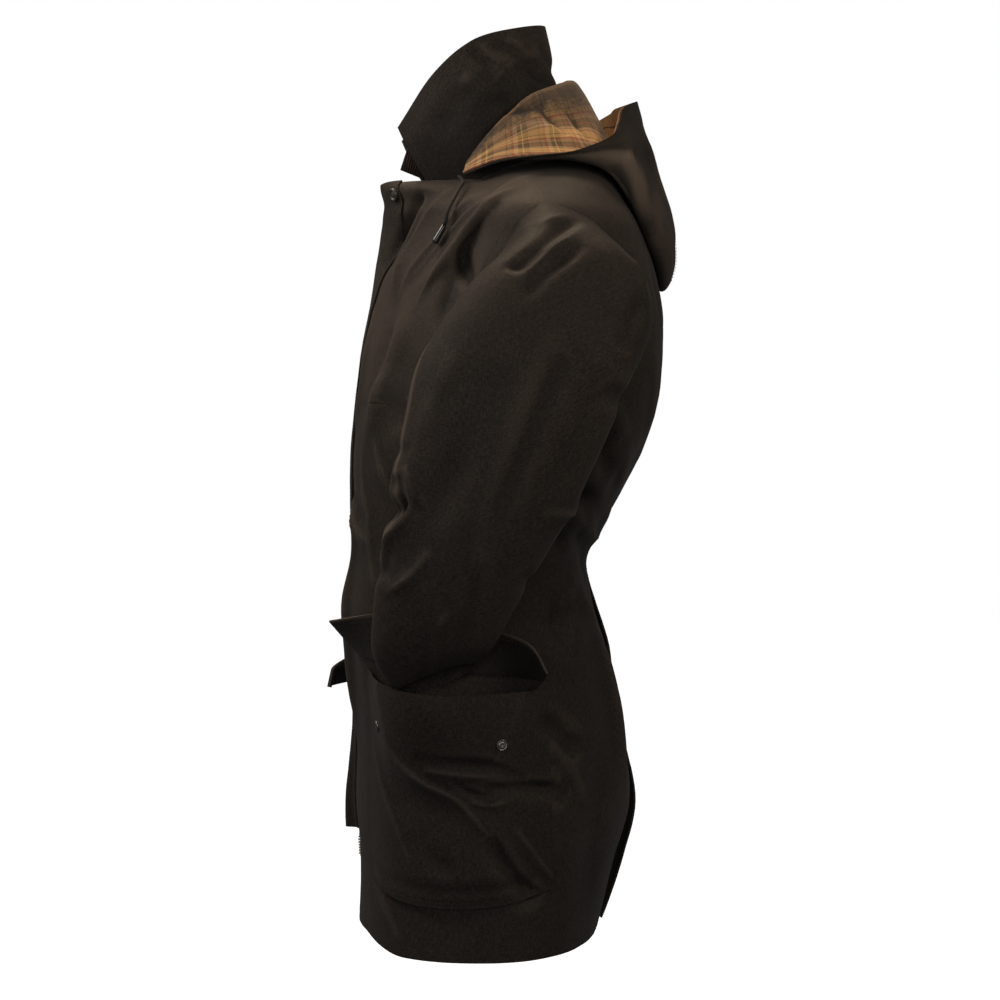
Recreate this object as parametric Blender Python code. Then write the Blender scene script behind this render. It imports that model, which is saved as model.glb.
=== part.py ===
"""A hooded wax jacket as hollow cloth: worn form, throat open, left cuff in its pocket, hood laid back.

The wearer faces -Y, the left side is +X, +Z is up, and the origin is the middle of the neck base.
"""

import math
from collections import namedtuple

import bmesh
import bpy
import numpy as np
from mathutils import Vector

# Cloth sizes, in metres
CLOTH = 0.002
LAYER = 0.0014
SEAM = 0.0004
LIFT = 0.0024
STEP = 1e-4

# Body rings from hem to neck: depths in y, half width in x, and how square each half is
Ring = namedtuple("Ring", "level front mid back half_width front_power back_power front_tilt back_tilt")
RINGS = [
    Ring(-0.816, -0.150, -0.020, 0.103, 0.236, 2.30, 2.4, 0.014, 0.006),
    Ring(-0.740, -0.1485, -0.020, 0.121, 0.236, 2.30, 2.4, 0.010, 0.004),
    Ring(-0.683, -0.153, -0.020, 0.136, 0.232, 2.30, 2.4, 0.000, 0.000),
    Ring(-0.600, -0.1525, -0.020, 0.128, 0.226, 2.30, 2.4, 0.000, 0.000),
    Ring(-0.521, -0.1595, -0.020, 0.112, 0.217, 2.30, 2.4, 0.000, 0.000),
    Ring(-0.468, -0.1645, -0.018, 0.098, 0.208, 2.30, 2.4, 0.000, 0.000),
    Ring(-0.414, -0.1575, -0.016, 0.094, 0.203, 2.30, 2.4, 0.000, 0.000),
    Ring(-0.360, -0.1585, -0.012, 0.1245, 0.204, 2.30, 2.5, 0.000, 0.000),
    Ring(-0.306, -0.1575, -0.004, 0.152, 0.207, 2.30, 2.8, 0.000, 0.000),
    Ring(-0.252, -0.1525, 0.002, 0.1685, 0.209, 2.20, 3.1, 0.000, 0.000),
    Ring(-0.199, -0.1455, 0.008, 0.1735, 0.211, 2.00, 3.3, 0.000, 0.000),
    Ring(-0.145, -0.1355, 0.015, 0.169, 0.213, 1.75, 3.3, 0.000, 0.000),
    Ring(-0.100, -0.1295, 0.025, 0.157, 0.212, 1.50, 3.1, 0.000, 0.000),
    Ring(-0.062, -0.1275, 0.030, 0.137, 0.204, 1.40, 2.8, 0.000, 0.008),
    Ring(-0.030, -0.1275, 0.020, 0.104, 0.142, 1.70, 2.5, -0.009, 0.022),
    Ring(-0.012, -0.128, 0.000, 0.062, 0.080, 2.50, 2.2, -0.013, 0.032),
]
HEM, NECK = RINGS[0].level, RINGS[-1].level
RING_LEVELS = np.array([ring.level for ring in RINGS])
RING_SIZES = np.array([ring[1:] for ring in RINGS])
DEVELOPED = 0.2

# Edges of the panels, as angles from the centre front at each level
Edge = namedtuple("Edge", "level angle")
FRONT_EDGE = [
    Edge(-0.25, 1.2), Edge(-0.20, 2.6), Edge(-0.15, 5.6), Edge(-0.10, 9.6), Edge(-0.05, 13.0),
    Edge(-0.012, 15.0),
]
SIDE_SEAM, SHOULDER_SEAM = 112.0, 92.0
ARMPIT, SHOULDER_POINT, SHOULDER_ANGLE = -0.262, -0.062, 94.0
ARMHOLE_FRONT = [
    Edge(ARMPIT, SIDE_SEAM), Edge(-0.260, 100.0), Edge(-0.254, 87.0), Edge(-0.243, 76.0), Edge(-0.228, 69.5),
    Edge(-0.210, 69.5), Edge(-0.190, 73.5), Edge(-0.160, 79.6), Edge(-0.138, 82.6), Edge(-0.111, 84.5),
    Edge(-0.081, 88.0), Edge(SHOULDER_POINT, SHOULDER_ANGLE),
]
ARMHOLE_BACK = [
    Edge(ARMPIT, SIDE_SEAM), Edge(-0.250, 118.0), Edge(-0.232, 123.0), Edge(-0.200, 129.0), Edge(-0.170, 130.7),
    Edge(-0.141, 127.4), Edge(-0.109, 119.0), Edge(-0.081, 107.0), Edge(SHOULDER_POINT, SHOULDER_ANGLE),
]
ARMHOLE_MARGIN, ARMPIT_ROOM = 0.0024, 0.012
ROW_SHARES = [0, 0.41, 0.86, 1]
VENT_TOP, VENT_FLARE, VENT_WAVE, VENT_OPENING = -0.437, 0.014, 0.30, 0.9

# Ridges (+) and troughs (-) on the body: where each starts and ends, its half width and height
Fold = namedtuple("Fold", "angle0 level0 angle1 level1 width height")
BODY_FOLDS = [
    Fold(42, -0.024, 17, -0.120, 0.014, -0.010),
    Fold(82, -0.048, 57, -0.150, 0.011, 0.006),
    Fold(73, -0.085, 70, -0.190, 0.012, -0.008),
    Fold(58, -0.150, 40, -0.300, 0.020, 0.006),
    Fold(30, -0.330, 24, -0.600, 0.016, 0.005),
    Fold(14, -0.260, 17, -0.520, 0.014, -0.005),
    Fold(128, -0.300, 158, -0.410, 0.016, 0.006),
    Fold(118, -0.380, 150, -0.440, 0.014, -0.006),
    Fold(112, -0.520, 140, -0.470, 0.016, 0.007),
    Fold(140, -0.480, 152, -0.660, 0.022, 0.008),
    Fold(128, -0.600, 122, -0.790, 0.024, -0.006),
    Fold(160, -0.180, 150, -0.330, 0.022, -0.006),
]

# Sleeve sections from cap to cuff: front and rear edges from the side, outer and inner edges from the front
Section = namedtuple("Section", "front_y front_z rear_y rear_z outer_x outer_z inner_x inner_z right_shift")
SLEEVE = [
    Section(-0.044, -0.190, 0.150, -0.180, 0.264, -0.112, 0.216, -0.272, 0.000),
    Section(-0.080, -0.232, 0.132, -0.228, 0.300, -0.190, 0.220, -0.290, 0.000),
    Section(-0.094, -0.285, 0.107, -0.290, 0.312, -0.265, 0.220, -0.325, 0.002),
    Section(-0.107, -0.345, 0.075, -0.360, 0.316, -0.340, 0.220, -0.375, 0.006),
    Section(-0.116, -0.410, 0.041, -0.420, 0.311, -0.412, 0.219, -0.430, 0.018),
    Section(-0.1235, -0.465, 0.011, -0.472, 0.301, -0.470, 0.221, -0.475, 0.032),
    Section(-0.124, -0.512, -0.006, -0.502, 0.285, -0.508, 0.225, -0.508, 0.046),
    Section(-0.103, -0.550, -0.024, -0.522, 0.258, -0.528, 0.228, -0.546, 0.058),
]
SLEEVE_CLEAR, FLAP_CLEAR = 0.004, 0.013
SLEEVE_GIRTH, SLEEVE_LENGTH = 0.46, 0.50
SleeveFold = namedtuple("SleeveFold", "turn0 along0 turn1 along1 width height")
SLEEVE_FOLDS = [
    SleeveFold(0.02, 0.10, 0.08, 0.34, 0.016, -0.007),
    SleeveFold(-0.06, 0.26, 0.02, 0.78, 0.018, 0.006),
    SleeveFold(-0.14, 0.20, -0.09, 0.62, 0.016, -0.005),
    SleeveFold(0.20, 0.56, 0.15, 0.72, 0.013, -0.008),
    SleeveFold(0.16, 0.70, 0.05, 0.66, 0.014, 0.006),
    SleeveFold(-0.20, 0.06, -0.26, 0.24, 0.016, -0.007),
    SleeveFold(-0.08, 0.72, 0.10, 0.90, 0.018, -0.005),
]

# Collar sections from its front end to the centre back
CollarSection = namedtuple("CollarSection", "base_x base_y base_z top_x top_y top_z bow")
COLLAR = [
    CollarSection(0.063, -0.0715, -0.0215, 0.052, -0.1080, 0.033, 0.003),
    CollarSection(0.0785, -0.034, -0.0160, 0.073, -0.0705, 0.086, 0.005),
    CollarSection(0.083, -0.004, -0.0060, 0.078, -0.0285, 0.1210, 0.006),
    CollarSection(0.066, 0.040, 0.0130, 0.064, 0.020, 0.1365, 0.005),
    CollarSection(0.000, 0.067, 0.0245, 0.000, 0.049, 0.148, 0.004),
]

# Hood sections round the neck, each from the neck seam over a crest, down into the pouch and up to the rim
HoodSection = namedtuple(
    "HoodSection",
    "angle neck_r neck_z crest_r crest_z slope_r slope_z inner_r inner_z pouch_r pouch_z belly_r belly_z"
    " rim_r rim_z right_rim_z",
)
HOOD = [
    HoodSection(69, 0.0885, -0.016, 0.0920, -0.008, 0.0970, -0.012, 0.0995, -0.0155, 0.1015, -0.0180,
                0.1035, -0.0200, 0.1055, -0.0215, -0.0215),
    HoodSection(90, 0.0910, -0.001, 0.0945, 0.032, 0.1050, 0.014, 0.1105, 0.000, 0.1145, -0.0080,
                0.1185, -0.0105, 0.1220, -0.0095, -0.0085),
    HoodSection(107, 0.0900, 0.005, 0.0900, 0.056, 0.1055, 0.032, 0.1185, 0.006, 0.1285, -0.0080,
                0.1350, -0.0100, 0.1390, -0.0055, 0.020),
    HoodSection(122, 0.0855, 0.012, 0.0830, 0.068, 0.1070, 0.038, 0.1270, 0.007, 0.1420, -0.0095,
                0.1500, -0.0085, 0.1495, -0.001, 0.048),
    HoodSection(138, 0.0800, 0.018, 0.0785, 0.076, 0.1060, 0.043, 0.1320, 0.005, 0.1540, -0.0215,
                0.1660, -0.0110, 0.1520, 0.015, 0.064),
    HoodSection(148, 0.0785, 0.0215, 0.0780, 0.080, 0.1050, 0.046, 0.1375, -0.008, 0.1680, -0.0580,
                0.1800, -0.0400, 0.1450, 0.034, 0.067),
    HoodSection(158, 0.0775, 0.025, 0.0775, 0.084, 0.1040, 0.048, 0.1420, -0.028, 0.1750, -0.1030,
                0.1870, -0.0660, 0.1400, 0.054, 0.070),
    HoodSection(180, 0.0765, 0.028, 0.0770, 0.088, 0.1030, 0.050, 0.1470, -0.045, 0.1715, -0.1330,
                0.1860, -0.0850, 0.1450, 0.068, 0.068),
]

# Patch pockets on the body: edges as angles, mouth and bottom as levels from front to rear
POCKET_FRONT = {"left": 51.0, "right": 40.0}
POCKET_REAR = 108.0
POCKET_MOUTH = [-0.531, -0.545, -0.552, -0.551, -0.548]
POCKET_BOTTOM = [-0.742, -0.756, -0.762, -0.759, -0.746]
POCKET_BELLY = {"left": 0.015, "right": 0.037}
MOUTH_BULGE = {"left": [0.046, 0.059, 0.050, 0.024, 0.012], "right": [0.008, 0.008, 0.008, 0.006, 0.005]}
MOUTH_DROP = {"left": 0.0, "right": 0.016}
POCKET_FORWARD = {"left": 0.0, "right": 1.0}
POCKET_EDGE, POCKET_BASE_EDGE = 0.11, 0.12

# The left flap is pushed up behind the cuff: where each section is sewn on, and its free edge
RaisedFlap = namedtuple("RaisedFlap", "angle level edge_x edge_y edge_z")
LEFT_FLAP = [
    RaisedFlap(41, -0.517, 0.150, -0.174, -0.484),
    RaisedFlap(64, -0.525, 0.189, -0.122, -0.474),
    RaisedFlap(78, -0.528, 0.2075, -0.070, -0.474),
    RaisedFlap(92, -0.533, 0.218, -0.006, -0.489),
    RaisedFlap(101, -0.537, 0.243, 0.029, -0.503),
    RaisedFlap(107, -0.541, 0.246, 0.046, -0.531),
]
# The right flap hangs shut over its pocket
RIGHT_FLAP_TOP, RIGHT_FLAP_DROP = -0.519, 0.047
RIGHT_FLAP_ANGLES = (38.5, 109.0)
RIGHT_FLAP_STEP, RIGHT_FLAP_LEAN = 0.040, 0.014

# Front closing
STORM_FLAP_WIDTH, STORM_OVERLAP, STORM_OVERLAP_TOP = 17.0, 7.0, 3.0
STORM_FLAP_BOTTOM = -0.715
ZIP_TAPE_ANGLE, ZIP_EDGE, ZIP_BOTTOM, ZIP_TOP = 6.0, 1.0, -0.752, -0.005
TEETH_ANGLE, TEETH_THICK = 0.95, 0.0018
BUTTON_LEVEL = -0.0276
BUTTON_RADIUS, BUTTON_HEIGHT = 0.0068, 0.0032
BUTTON_ANGLE = 10.0
STUD_RADIUS, STUD_HEIGHT = 0.0055, 0.0030
STUDS = [("front", 0.13, 0.78), ("rear", 0.78, 0.76)]

# The throat tab behind the collar's right end, by its corners
TAB_CORNERS = {"rear_low": (-0.050, -0.074, -0.013), "front_low": (-0.040, -0.109, 0.000),
               "rear_high": (-0.055, -0.068, 0.022), "front_high": (-0.043, -0.100, 0.028)}

# Hood cords: a point of the rim, then places on the front panel, as angle and level
CORD_RADIUS = 0.0019
CORD_EXIT = (0.0995, -0.0425, -0.0245)
CORD_ROUTE = [(65.7, -0.0300), (64.3, -0.040), (63.9, -0.051), (63.7, -0.061), (63.4, -0.071), (62.9, -0.080)]
CORD_END_ROUTE = [(62.5, -0.0845), (60.1, -0.1015)]
CORD_STANDOFF = 0.0062
CORD_END_RADII = (0.0028, 0.0036)


def smooth(x, low, high):
    """0 below low, 1 above high, and an even S between."""
    f = np.clip((np.asarray(x, float) - low) / (high - low), 0, 1)
    return f * f * (3 - 2 * f)


def curve(x, knots, values):
    """A smooth curve through values at the knots, read at x. Values may hold one row of sizes for each knot."""
    knots, values = np.asarray(knots, float), np.asarray(values, float)
    slopes = np.gradient(values, knots, axis=0)
    i = np.clip(np.searchsorted(knots, x) - 1, 0, len(knots) - 2)
    wide = knots[i + 1] - knots[i]
    f = (x - knots[i]) / wide
    if values.ndim > 1:
        f, wide = f[:, None], wide[:, None]
    return hermite(f, wide, values[i], values[i + 1], slopes[i], slopes[i + 1])


def hermite(f, wide, start, end, start_slope, end_slope):
    return (start * (2 * f**3 - 3 * f**2 + 1) + end * (3 * f**2 - 2 * f**3)
            + wide * (start_slope * (f**3 - 2 * f**2 + f) + end_slope * (f**3 - f**2)))


def loft(t, sections):
    """Points at t from 0 to 1 along the sections, where sections[k] holds each point's place on section k."""
    knots = np.linspace(0, 1, len(sections))
    slopes = np.gradient(sections, knots, axis=0)
    i = np.clip(np.searchsorted(knots, t) - 1, 0, len(knots) - 2)
    each = np.arange(len(t))
    f = ((t - knots[i]) / knots[1])[:, None]
    return hermite(f, knots[1], sections[i, each], sections[i + 1, each], slopes[i, each], slopes[i + 1, each])


def edge_angle(level, edges):
    """The angle of a panel's edge at a level: straight between the rows, held beyond the ends."""
    return np.interp(level, [edge.level for edge in edges], [edge.angle for edge in edges])


def relief(p, q, folds):
    """Height of the folds at places (p, q) of a developed cloth, in metres."""
    height = np.zeros_like(p)
    for p0, q0, p1, q1, width, rise in folds:
        along_p, along_q = p1 - p0, q1 - q0
        length = math.hypot(along_p, along_q)
        along = ((p - p0) * along_p + (q - q0) * along_q) / length**2
        aside = ((p - p0) * along_q - (q - q0) * along_p) / length
        height += rise * np.exp(-(aside / width) ** 2) * smooth(along, -0.1, 0.3) * smooth(1 - along, -0.1, 0.3)
    return height


# The body


def ring_sizes(level):
    return curve(level, RING_LEVELS, RING_SIZES).T


def body_radius(angle, level):
    """Distance of the cloth from the middle of its ring, and the ring's middle, in the direction of angle."""
    front, mid, back, half_width, front_power, back_power = ring_sizes(level)[:6]
    across, ahead = np.abs(np.sin(angle)), np.cos(angle)
    depth = np.where(ahead > 0, mid - front, back - mid)
    power = np.where(ahead > 0, front_power, back_power)
    plain = ((across / half_width) ** power + (np.abs(ahead) / depth) ** power) ** (-1 / power)
    p = np.abs(angle) * DEVELOPED
    folds = [(math.radians(a0) * DEVELOPED, q0, math.radians(a1) * DEVELOPED, q1, width, rise)
             for a0, q0, a1, q1, width, rise in BODY_FOLDS]
    return plain + relief(p, level, folds), mid


def body(degrees, level, flare=0.0):
    """Points of the body at an angle from the centre front (left positive) and a level, flared out."""
    angle = np.radians(degrees)
    radius, mid = body_radius(angle, level)
    front_tilt, back_tilt = ring_sizes(level)[6:]
    radius = radius + flare
    start = np.interp(level, [-0.7, -0.1], [0.35, -0.1])
    rise = front_tilt * smooth(np.cos(angle) - start, 0, 0.4) + back_tilt * smooth(-np.cos(angle), 0, 1)
    return np.stack([radius * np.sin(angle), mid - radius * np.cos(angle), level + rise], axis=1)


def off_body(degrees, level, out):
    """Points a distance out from the body's cloth, square to it."""
    return body(degrees, level) + normals(body, degrees, level) * np.reshape(out, (-1, 1))


def front_levels(t, bottom, top=NECK):
    """Levels from a bottom edge to the neck, closer together round the armhole and shoulder."""
    return np.interp(t, ROW_SHARES, [bottom, ARMPIT - ARMPIT_ROOM, SHOULDER_POINT, top])


def armhole_clear(level, edges, inner):
    """The panel's edge along the armhole, clear of the sleeve: inner picks the side that the panel is on."""
    near = [edge_angle(level + shift, edges) for shift in (-ARMHOLE_MARGIN, 0, ARMHOLE_MARGIN)]
    margin = math.degrees(ARMHOLE_MARGIN / DEVELOPED)
    return inner(near, axis=0) + (-margin if inner is np.min else margin)


def side_edge(level, edges, inner, seam_gap):
    """Side seam below the armpit, armhole beside the sleeve, shoulder seam above it."""
    gap = -seam_gap if inner is np.min else seam_gap
    armhole = armhole_clear(level, edges, inner)
    seam = np.where(level < ARMPIT - ARMHOLE_MARGIN, SIDE_SEAM + gap, armhole)
    shoulder = curve(level, [SHOULDER_POINT, NECK], [SHOULDER_ANGLE, SHOULDER_SEAM]) + gap
    return np.where(level > SHOULDER_POINT, shoulder, seam)


SEAM_ANGLE = math.degrees(SEAM / DEVELOPED) / 2


def front_panel(side):
    def surface(s, t):
        level = front_levels(t, HEM)
        edge = edge_angle(level, FRONT_EDGE)
        angle = edge + s * (side_edge(level, ARMHOLE_FRONT, np.min, SEAM_ANGLE) - edge)
        return body(side * angle, level)
    return surface


def vent_flare(side, angle, level):
    """How far the skirt stands back beside the centre vent. The right half stands further out than the left."""
    below = smooth(VENT_TOP - level, -0.02, 0.10)
    beside = smooth(angle, 140, 180)
    waves = 0.55 + 0.45 * np.cos((level - VENT_TOP) * math.tau / VENT_WAVE)
    return below * beside * VENT_FLARE * (waves if side < 0 else 0.15 * np.ones_like(level))


def back_panel(side):
    def surface(s, t):
        level = front_levels(t, HEM)
        opening = VENT_OPENING * smooth(VENT_TOP - level, 0, VENT_WAVE / 2)
        centre = 180 - SEAM_ANGLE * 1.5 - opening
        outer = side_edge(level, ARMHOLE_BACK, np.max, SEAM_ANGLE)
        angle = outer + s * (centre - outer)
        return body(side * angle, level, vent_flare(side, angle, level))
    return surface


# Sleeves


def armhole(turn):
    """The armhole's loop: 0 at the shoulder point, on round the front to the armpit at 0.5, and up the back."""
    levels = np.linspace(SHOULDER_POINT, ARMPIT, 80)
    front = off_body(edge_angle(levels, ARMHOLE_FRONT), levels, LIFT)
    back = off_body(edge_angle(levels, ARMHOLE_BACK), levels, LIFT)[::-1]
    half_turns = []
    for path in (front, back):
        length = np.concatenate([[0], np.cumsum(np.linalg.norm(np.diff(path, axis=0), axis=1))])
        half_turns.append(length / length[-1] / 2)
    turns = np.concatenate([half_turns[0], 0.5 + half_turns[1][1:]])
    loop = np.concatenate([front, back[1:]])
    return np.stack([np.interp(turn % 1, turns, loop[:, axis]) for axis in range(3)], axis=1)


def sleeve_ring(section, turn, side):
    """A closed ring through a section's outer, front, inner and rear edges."""
    shift = section.right_shift if side < 0 else 0.0
    outer_x, inner_x = section.outer_x + shift, section.inner_x + shift
    middle_x, middle_y = (outer_x + inner_x) / 2, (section.front_y + section.rear_y) / 2
    outer = np.array([outer_x, middle_y, section.outer_z])
    inner = np.array([inner_x, middle_y, section.inner_z])
    front = np.array([middle_x, section.front_y, section.front_z])
    rear = np.array([middle_x, section.rear_y, section.rear_z])
    angle = (turn * math.tau)[:, None]
    return ((outer + inner + front + rear) / 4 + (outer - inner) / 2 * np.cos(angle)
            + (front - rear) / 2 * np.sin(angle) + (outer + inner - front - rear) / 4 * np.cos(2 * angle))


def clear_of_body(points, clearance):
    """Points moved out of the body, sideways, to a clearance from its cloth."""
    level = np.clip(points[:, 2], HEM, SHOULDER_POINT)
    mid = ring_sizes(level)[1]
    angle = np.arctan2(points[:, 0], mid - points[:, 1])
    least = body_radius(angle, level)[0] + clearance
    radius = np.hypot(points[:, 0], mid - points[:, 1])
    grow = np.maximum(radius, least)
    return np.stack([grow * np.sin(angle), mid - grow * np.cos(angle), points[:, 2]], axis=1)


def sleeve(side):
    def plain(turn, t):
        rings = np.stack([armhole(turn)] + [sleeve_ring(section, turn, side) for section in SLEEVE])
        return loft(t, rings)

    def surface(turn, t):
        points = plain(turn, t)
        wrapped = (turn + 0.5) % 1 - 0.5
        folds = [(p0 * SLEEVE_GIRTH, q0 * SLEEVE_LENGTH, p1 * SLEEVE_GIRTH, q1 * SLEEVE_LENGTH, width, rise)
                 for p0, q0, p1, q1, width, rise in SLEEVE_FOLDS]
        height = relief(wrapped * SLEEVE_GIRTH, t * SLEEVE_LENGTH, folds) * smooth(t, 0.02, 0.15)
        points = points + normals(plain, turn, t) * height[:, None]
        clearance = (SLEEVE_CLEAR + (FLAP_CLEAR - SLEEVE_CLEAR) * smooth(t, 0.74, 0.82)) * smooth(t, 0, 0.10)
        points = clear_of_body(points, clearance)
        return points * np.array([side, 1, 1])
    return surface


# Collar and hood


def mirrored(rows, columns):
    """Rows from the left front end to the centre back, then on to the right end with x turned over."""
    left = np.array([list(row) for row in rows])
    right = left[-2::-1].copy()
    right[:, columns] *= -1
    return np.concatenate([left, right])


def collar(s, t):
    rows = mirrored(COLLAR, [0, 3])
    row = curve(s, np.linspace(0, 1, len(rows)), rows)
    base, top, bow = row[:, :3], row[:, 3:6], row[:, 6]
    outward = base * np.array([1, 1, 0])
    outward /= np.linalg.norm(outward, axis=1)[:, None]
    return base + (top - base) * t[:, None] + outward * (bow * np.sin(math.pi * t))[:, None]


def hood(s, t):
    """The hood from the left front end (s 0) round the back, and from the neck seam (t 0) to the rim."""
    left = np.array([list(section) for section in HOOD])
    right = left[-2::-1].copy()
    right[:, 0] = 360 - right[:, 0]
    right[:, 14] = right[:, 15]
    rows = np.concatenate([left, right])
    row = curve(s, np.linspace(0, 1, len(rows)), rows)
    angle = np.radians(row[:, 0])
    points = [np.stack([row[:, k] * np.sin(angle), -row[:, k] * np.cos(angle), row[:, k + 1]], axis=1)
              for k in (1, 3, 5, 7, 9, 11, 13)]
    return loft(t, np.stack(points))


# Pockets and flaps


def pocket_row(values, s):
    return curve(s, np.linspace(0, 1, len(values)), values)


def pocket_depth(name, s, t):
    """How far the pocket stands off the body: a belly that closes at its edges, and an open mouth."""
    edges = smooth(s, 0, POCKET_EDGE) * smooth(1 - s, 0, POCKET_EDGE)
    base = smooth(t, 0, POCKET_BASE_EDGE)
    belly = POCKET_BELLY[name] * (0.55 + 0.45 * np.sin(math.pi * np.clip(t, 0, 1) ** 0.8))
    mouth = pocket_row(MOUTH_BULGE[name], s) * smooth(t, 0.45, 1.0)
    return edges * base * (belly * (1 - 0.5 * smooth(t, 0.6, 1.0)) + mouth)


def pocket_place(name, s, t):
    angle = POCKET_FRONT[name] + s * (POCKET_REAR - POCKET_FRONT[name])
    low, high = pocket_row(POCKET_BOTTOM, s), pocket_row(POCKET_MOUTH, s) - MOUTH_DROP[name]
    return angle, low + t * (high - low)


def pocket(name, side):
    def surface(s, t):
        angle, level = pocket_place(name, s, t)
        sideways = normals(body, side * angle, level) * np.array([1, POCKET_FORWARD[name], 0.3])
        sideways /= np.linalg.norm(sideways, axis=1)[:, None]
        return off_body(side * angle, level, LIFT + CLOTH) + sideways * pocket_depth(name, s, t)[:, None]
    return surface


def left_flap(s, t):
    rows = curve(s, np.linspace(0, 1, len(LEFT_FLAP)), np.array([list(row) for row in LEFT_FLAP]))
    sewn = off_body(rows[:, 0], rows[:, 1], LIFT + CLOTH)
    return sewn + (rows[:, 2:] - sewn) * t[:, None]


def right_flap(s, t):
    """Hangs from above the mouth, over the pocket, its lower edge standing off."""
    angle = RIGHT_FLAP_ANGLES[0] + s * (RIGHT_FLAP_ANGLES[1] - RIGHT_FLAP_ANGLES[0])
    level = RIGHT_FLAP_TOP - t * RIGHT_FLAP_DROP
    ends = smooth(s, -0.25, 0.1) * smooth(1 - s, -0.25, 0.1)
    stand_off = LIFT + CLOTH + (RIGHT_FLAP_STEP * smooth(t, 0.0, 0.6) + RIGHT_FLAP_LEAN * t) * ends
    return off_body(-angle, level, stand_off)


# Front closing, tab and cords


def storm_edge(level):
    overlap = np.interp(level, [-0.25, NECK], [STORM_OVERLAP, STORM_OVERLAP_TOP])
    return edge_angle(level, FRONT_EDGE) - overlap


def storm_flap(s, t):
    level = front_levels(t, STORM_FLAP_BOTTOM)
    return off_body(storm_edge(level) + s * STORM_FLAP_WIDTH, level, LIFT + CLOTH)


def zip_tape(side):
    def surface(s, t):
        level = front_levels(t, ZIP_BOTTOM, ZIP_TOP)
        near = edge_angle(level, FRONT_EDGE) - ZIP_EDGE
        return off_body(side * (near + s * ZIP_TAPE_ANGLE), level, -CLOTH - LIFT - 3 * SEAM)
    return surface


def zip_teeth(side):
    """The strip that a side's teeth fill, along the inner edge of its tape."""
    def surface(s, t):
        level = front_levels(t, ZIP_BOTTOM, ZIP_TOP)
        near = edge_angle(level, FRONT_EDGE) - ZIP_EDGE
        return off_body(side * (near + s * TEETH_ANGLE), level, -CLOTH - 3 * SEAM)
    return surface


def throat_tab(s, t):
    low = np.array(TAB_CORNERS["rear_low"]), np.array(TAB_CORNERS["front_low"])
    high = np.array(TAB_CORNERS["rear_high"]), np.array(TAB_CORNERS["front_high"])
    s, t = s[:, None], t[:, None]
    return (low[0] * (1 - s) + low[1] * s) * (1 - t) + (high[0] * (1 - s) + high[1] * s) * t


def on_front(places, out):
    """Points beside the left front panel, at (angle, level) places."""
    angles, levels = np.array(places).T
    return off_body(angles, levels, out)


# Making solids


def normals(surface, s, t):
    """Unit normals of a surface at (s, t)."""
    along_s = surface(s + STEP, t) - surface(s - STEP, t)
    along_t = surface(s, t + STEP) - surface(s, t - STEP)
    across = np.cross(along_s, along_t)
    return across / np.linalg.norm(across, axis=1)[:, None]


def slab(columns, rows):
    """A flat slab one unit thick, with places s, t and layer as its coordinates."""
    bm = bmesh.new()
    bmesh.ops.create_grid(bm, x_segments=columns, y_segments=rows, size=0.5)
    bmesh.ops.translate(bm, verts=bm.verts, vec=(0.5, 0.5, 0))
    copied = bmesh.ops.extrude_face_region(bm, geom=bm.faces[:], use_keep_orig=True)["geom"]
    layer = [item for item in copied if isinstance(item, bmesh.types.BMVert)]
    bmesh.ops.translate(bm, verts=layer, vec=(0, 0, 1))
    return bm


def wall(name, surface, columns, rows, material, outer=0.0, thickness=CLOTH, flip=1, tube=False):
    """A cloth wall: its outer face on the surface moved out, its inner face a thickness further in."""
    bm = slab(columns, rows)
    if tube:
        ends = [face for face in bm.faces if {round(v.co.x, 4) for v in face.verts} in ({0.0}, {1.0})]
        bmesh.ops.delete(bm, geom=ends, context="FACES")
    mesh = bpy.data.meshes.new(name)
    places = np.array([vertex.co for vertex in bm.verts])
    s, t, layer = places.T
    points = surface(s, t) + normals(surface, s, t) * (flip * (outer - layer * thickness))[:, None]
    for vertex, point in zip(bm.verts, points):
        vertex.co = point
    if tube:
        bmesh.ops.remove_doubles(bm, verts=bm.verts, dist=1e-6)
    bmesh.ops.recalc_face_normals(bm, faces=bm.faces)
    if bm.calc_volume(signed=True) < 0:
        bmesh.ops.reverse_faces(bm, faces=bm.faces)
    bm.to_mesh(mesh)
    bm.free()
    mesh.shade_smooth()
    return add(name, mesh, material)


def add(name, data, material):
    thing = bpy.data.objects.new(name, data)
    data.materials.append(material)
    jacket.objects.link(thing)
    return thing


def disc(name, place, facing, radius, height, rim, material):
    """A round fastener: a low cone with a sunk middle, standing on the cloth and facing away from it."""
    bm = bmesh.new()
    bmesh.ops.create_cone(bm, cap_ends=True, segments=10, radius1=radius, radius2=radius * 0.88, depth=height)
    top = max(bm.faces, key=lambda face: face.calc_center_median().z)
    bmesh.ops.inset_region(bm, faces=[top], thickness=rim)
    bmesh.ops.translate(bm, verts=top.verts, vec=(0, 0, -height * 0.35))
    mesh = bpy.data.meshes.new(name)
    bm.to_mesh(mesh)
    bm.free()
    thing = add(name, mesh, material)
    facing = Vector(facing)
    thing.location = Vector(place) + facing * (height / 2)
    thing.rotation_euler = facing.to_track_quat("Z", "Y").to_euler()
    return thing


def on_cloth(surface, s, t, out, flip=1):
    """A place out from a surface and the way it faces."""
    s, t = np.array([s]), np.array([t])
    facing = normals(surface, s, t)[0] * flip
    return surface(s, t)[0] + facing * out, facing


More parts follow.
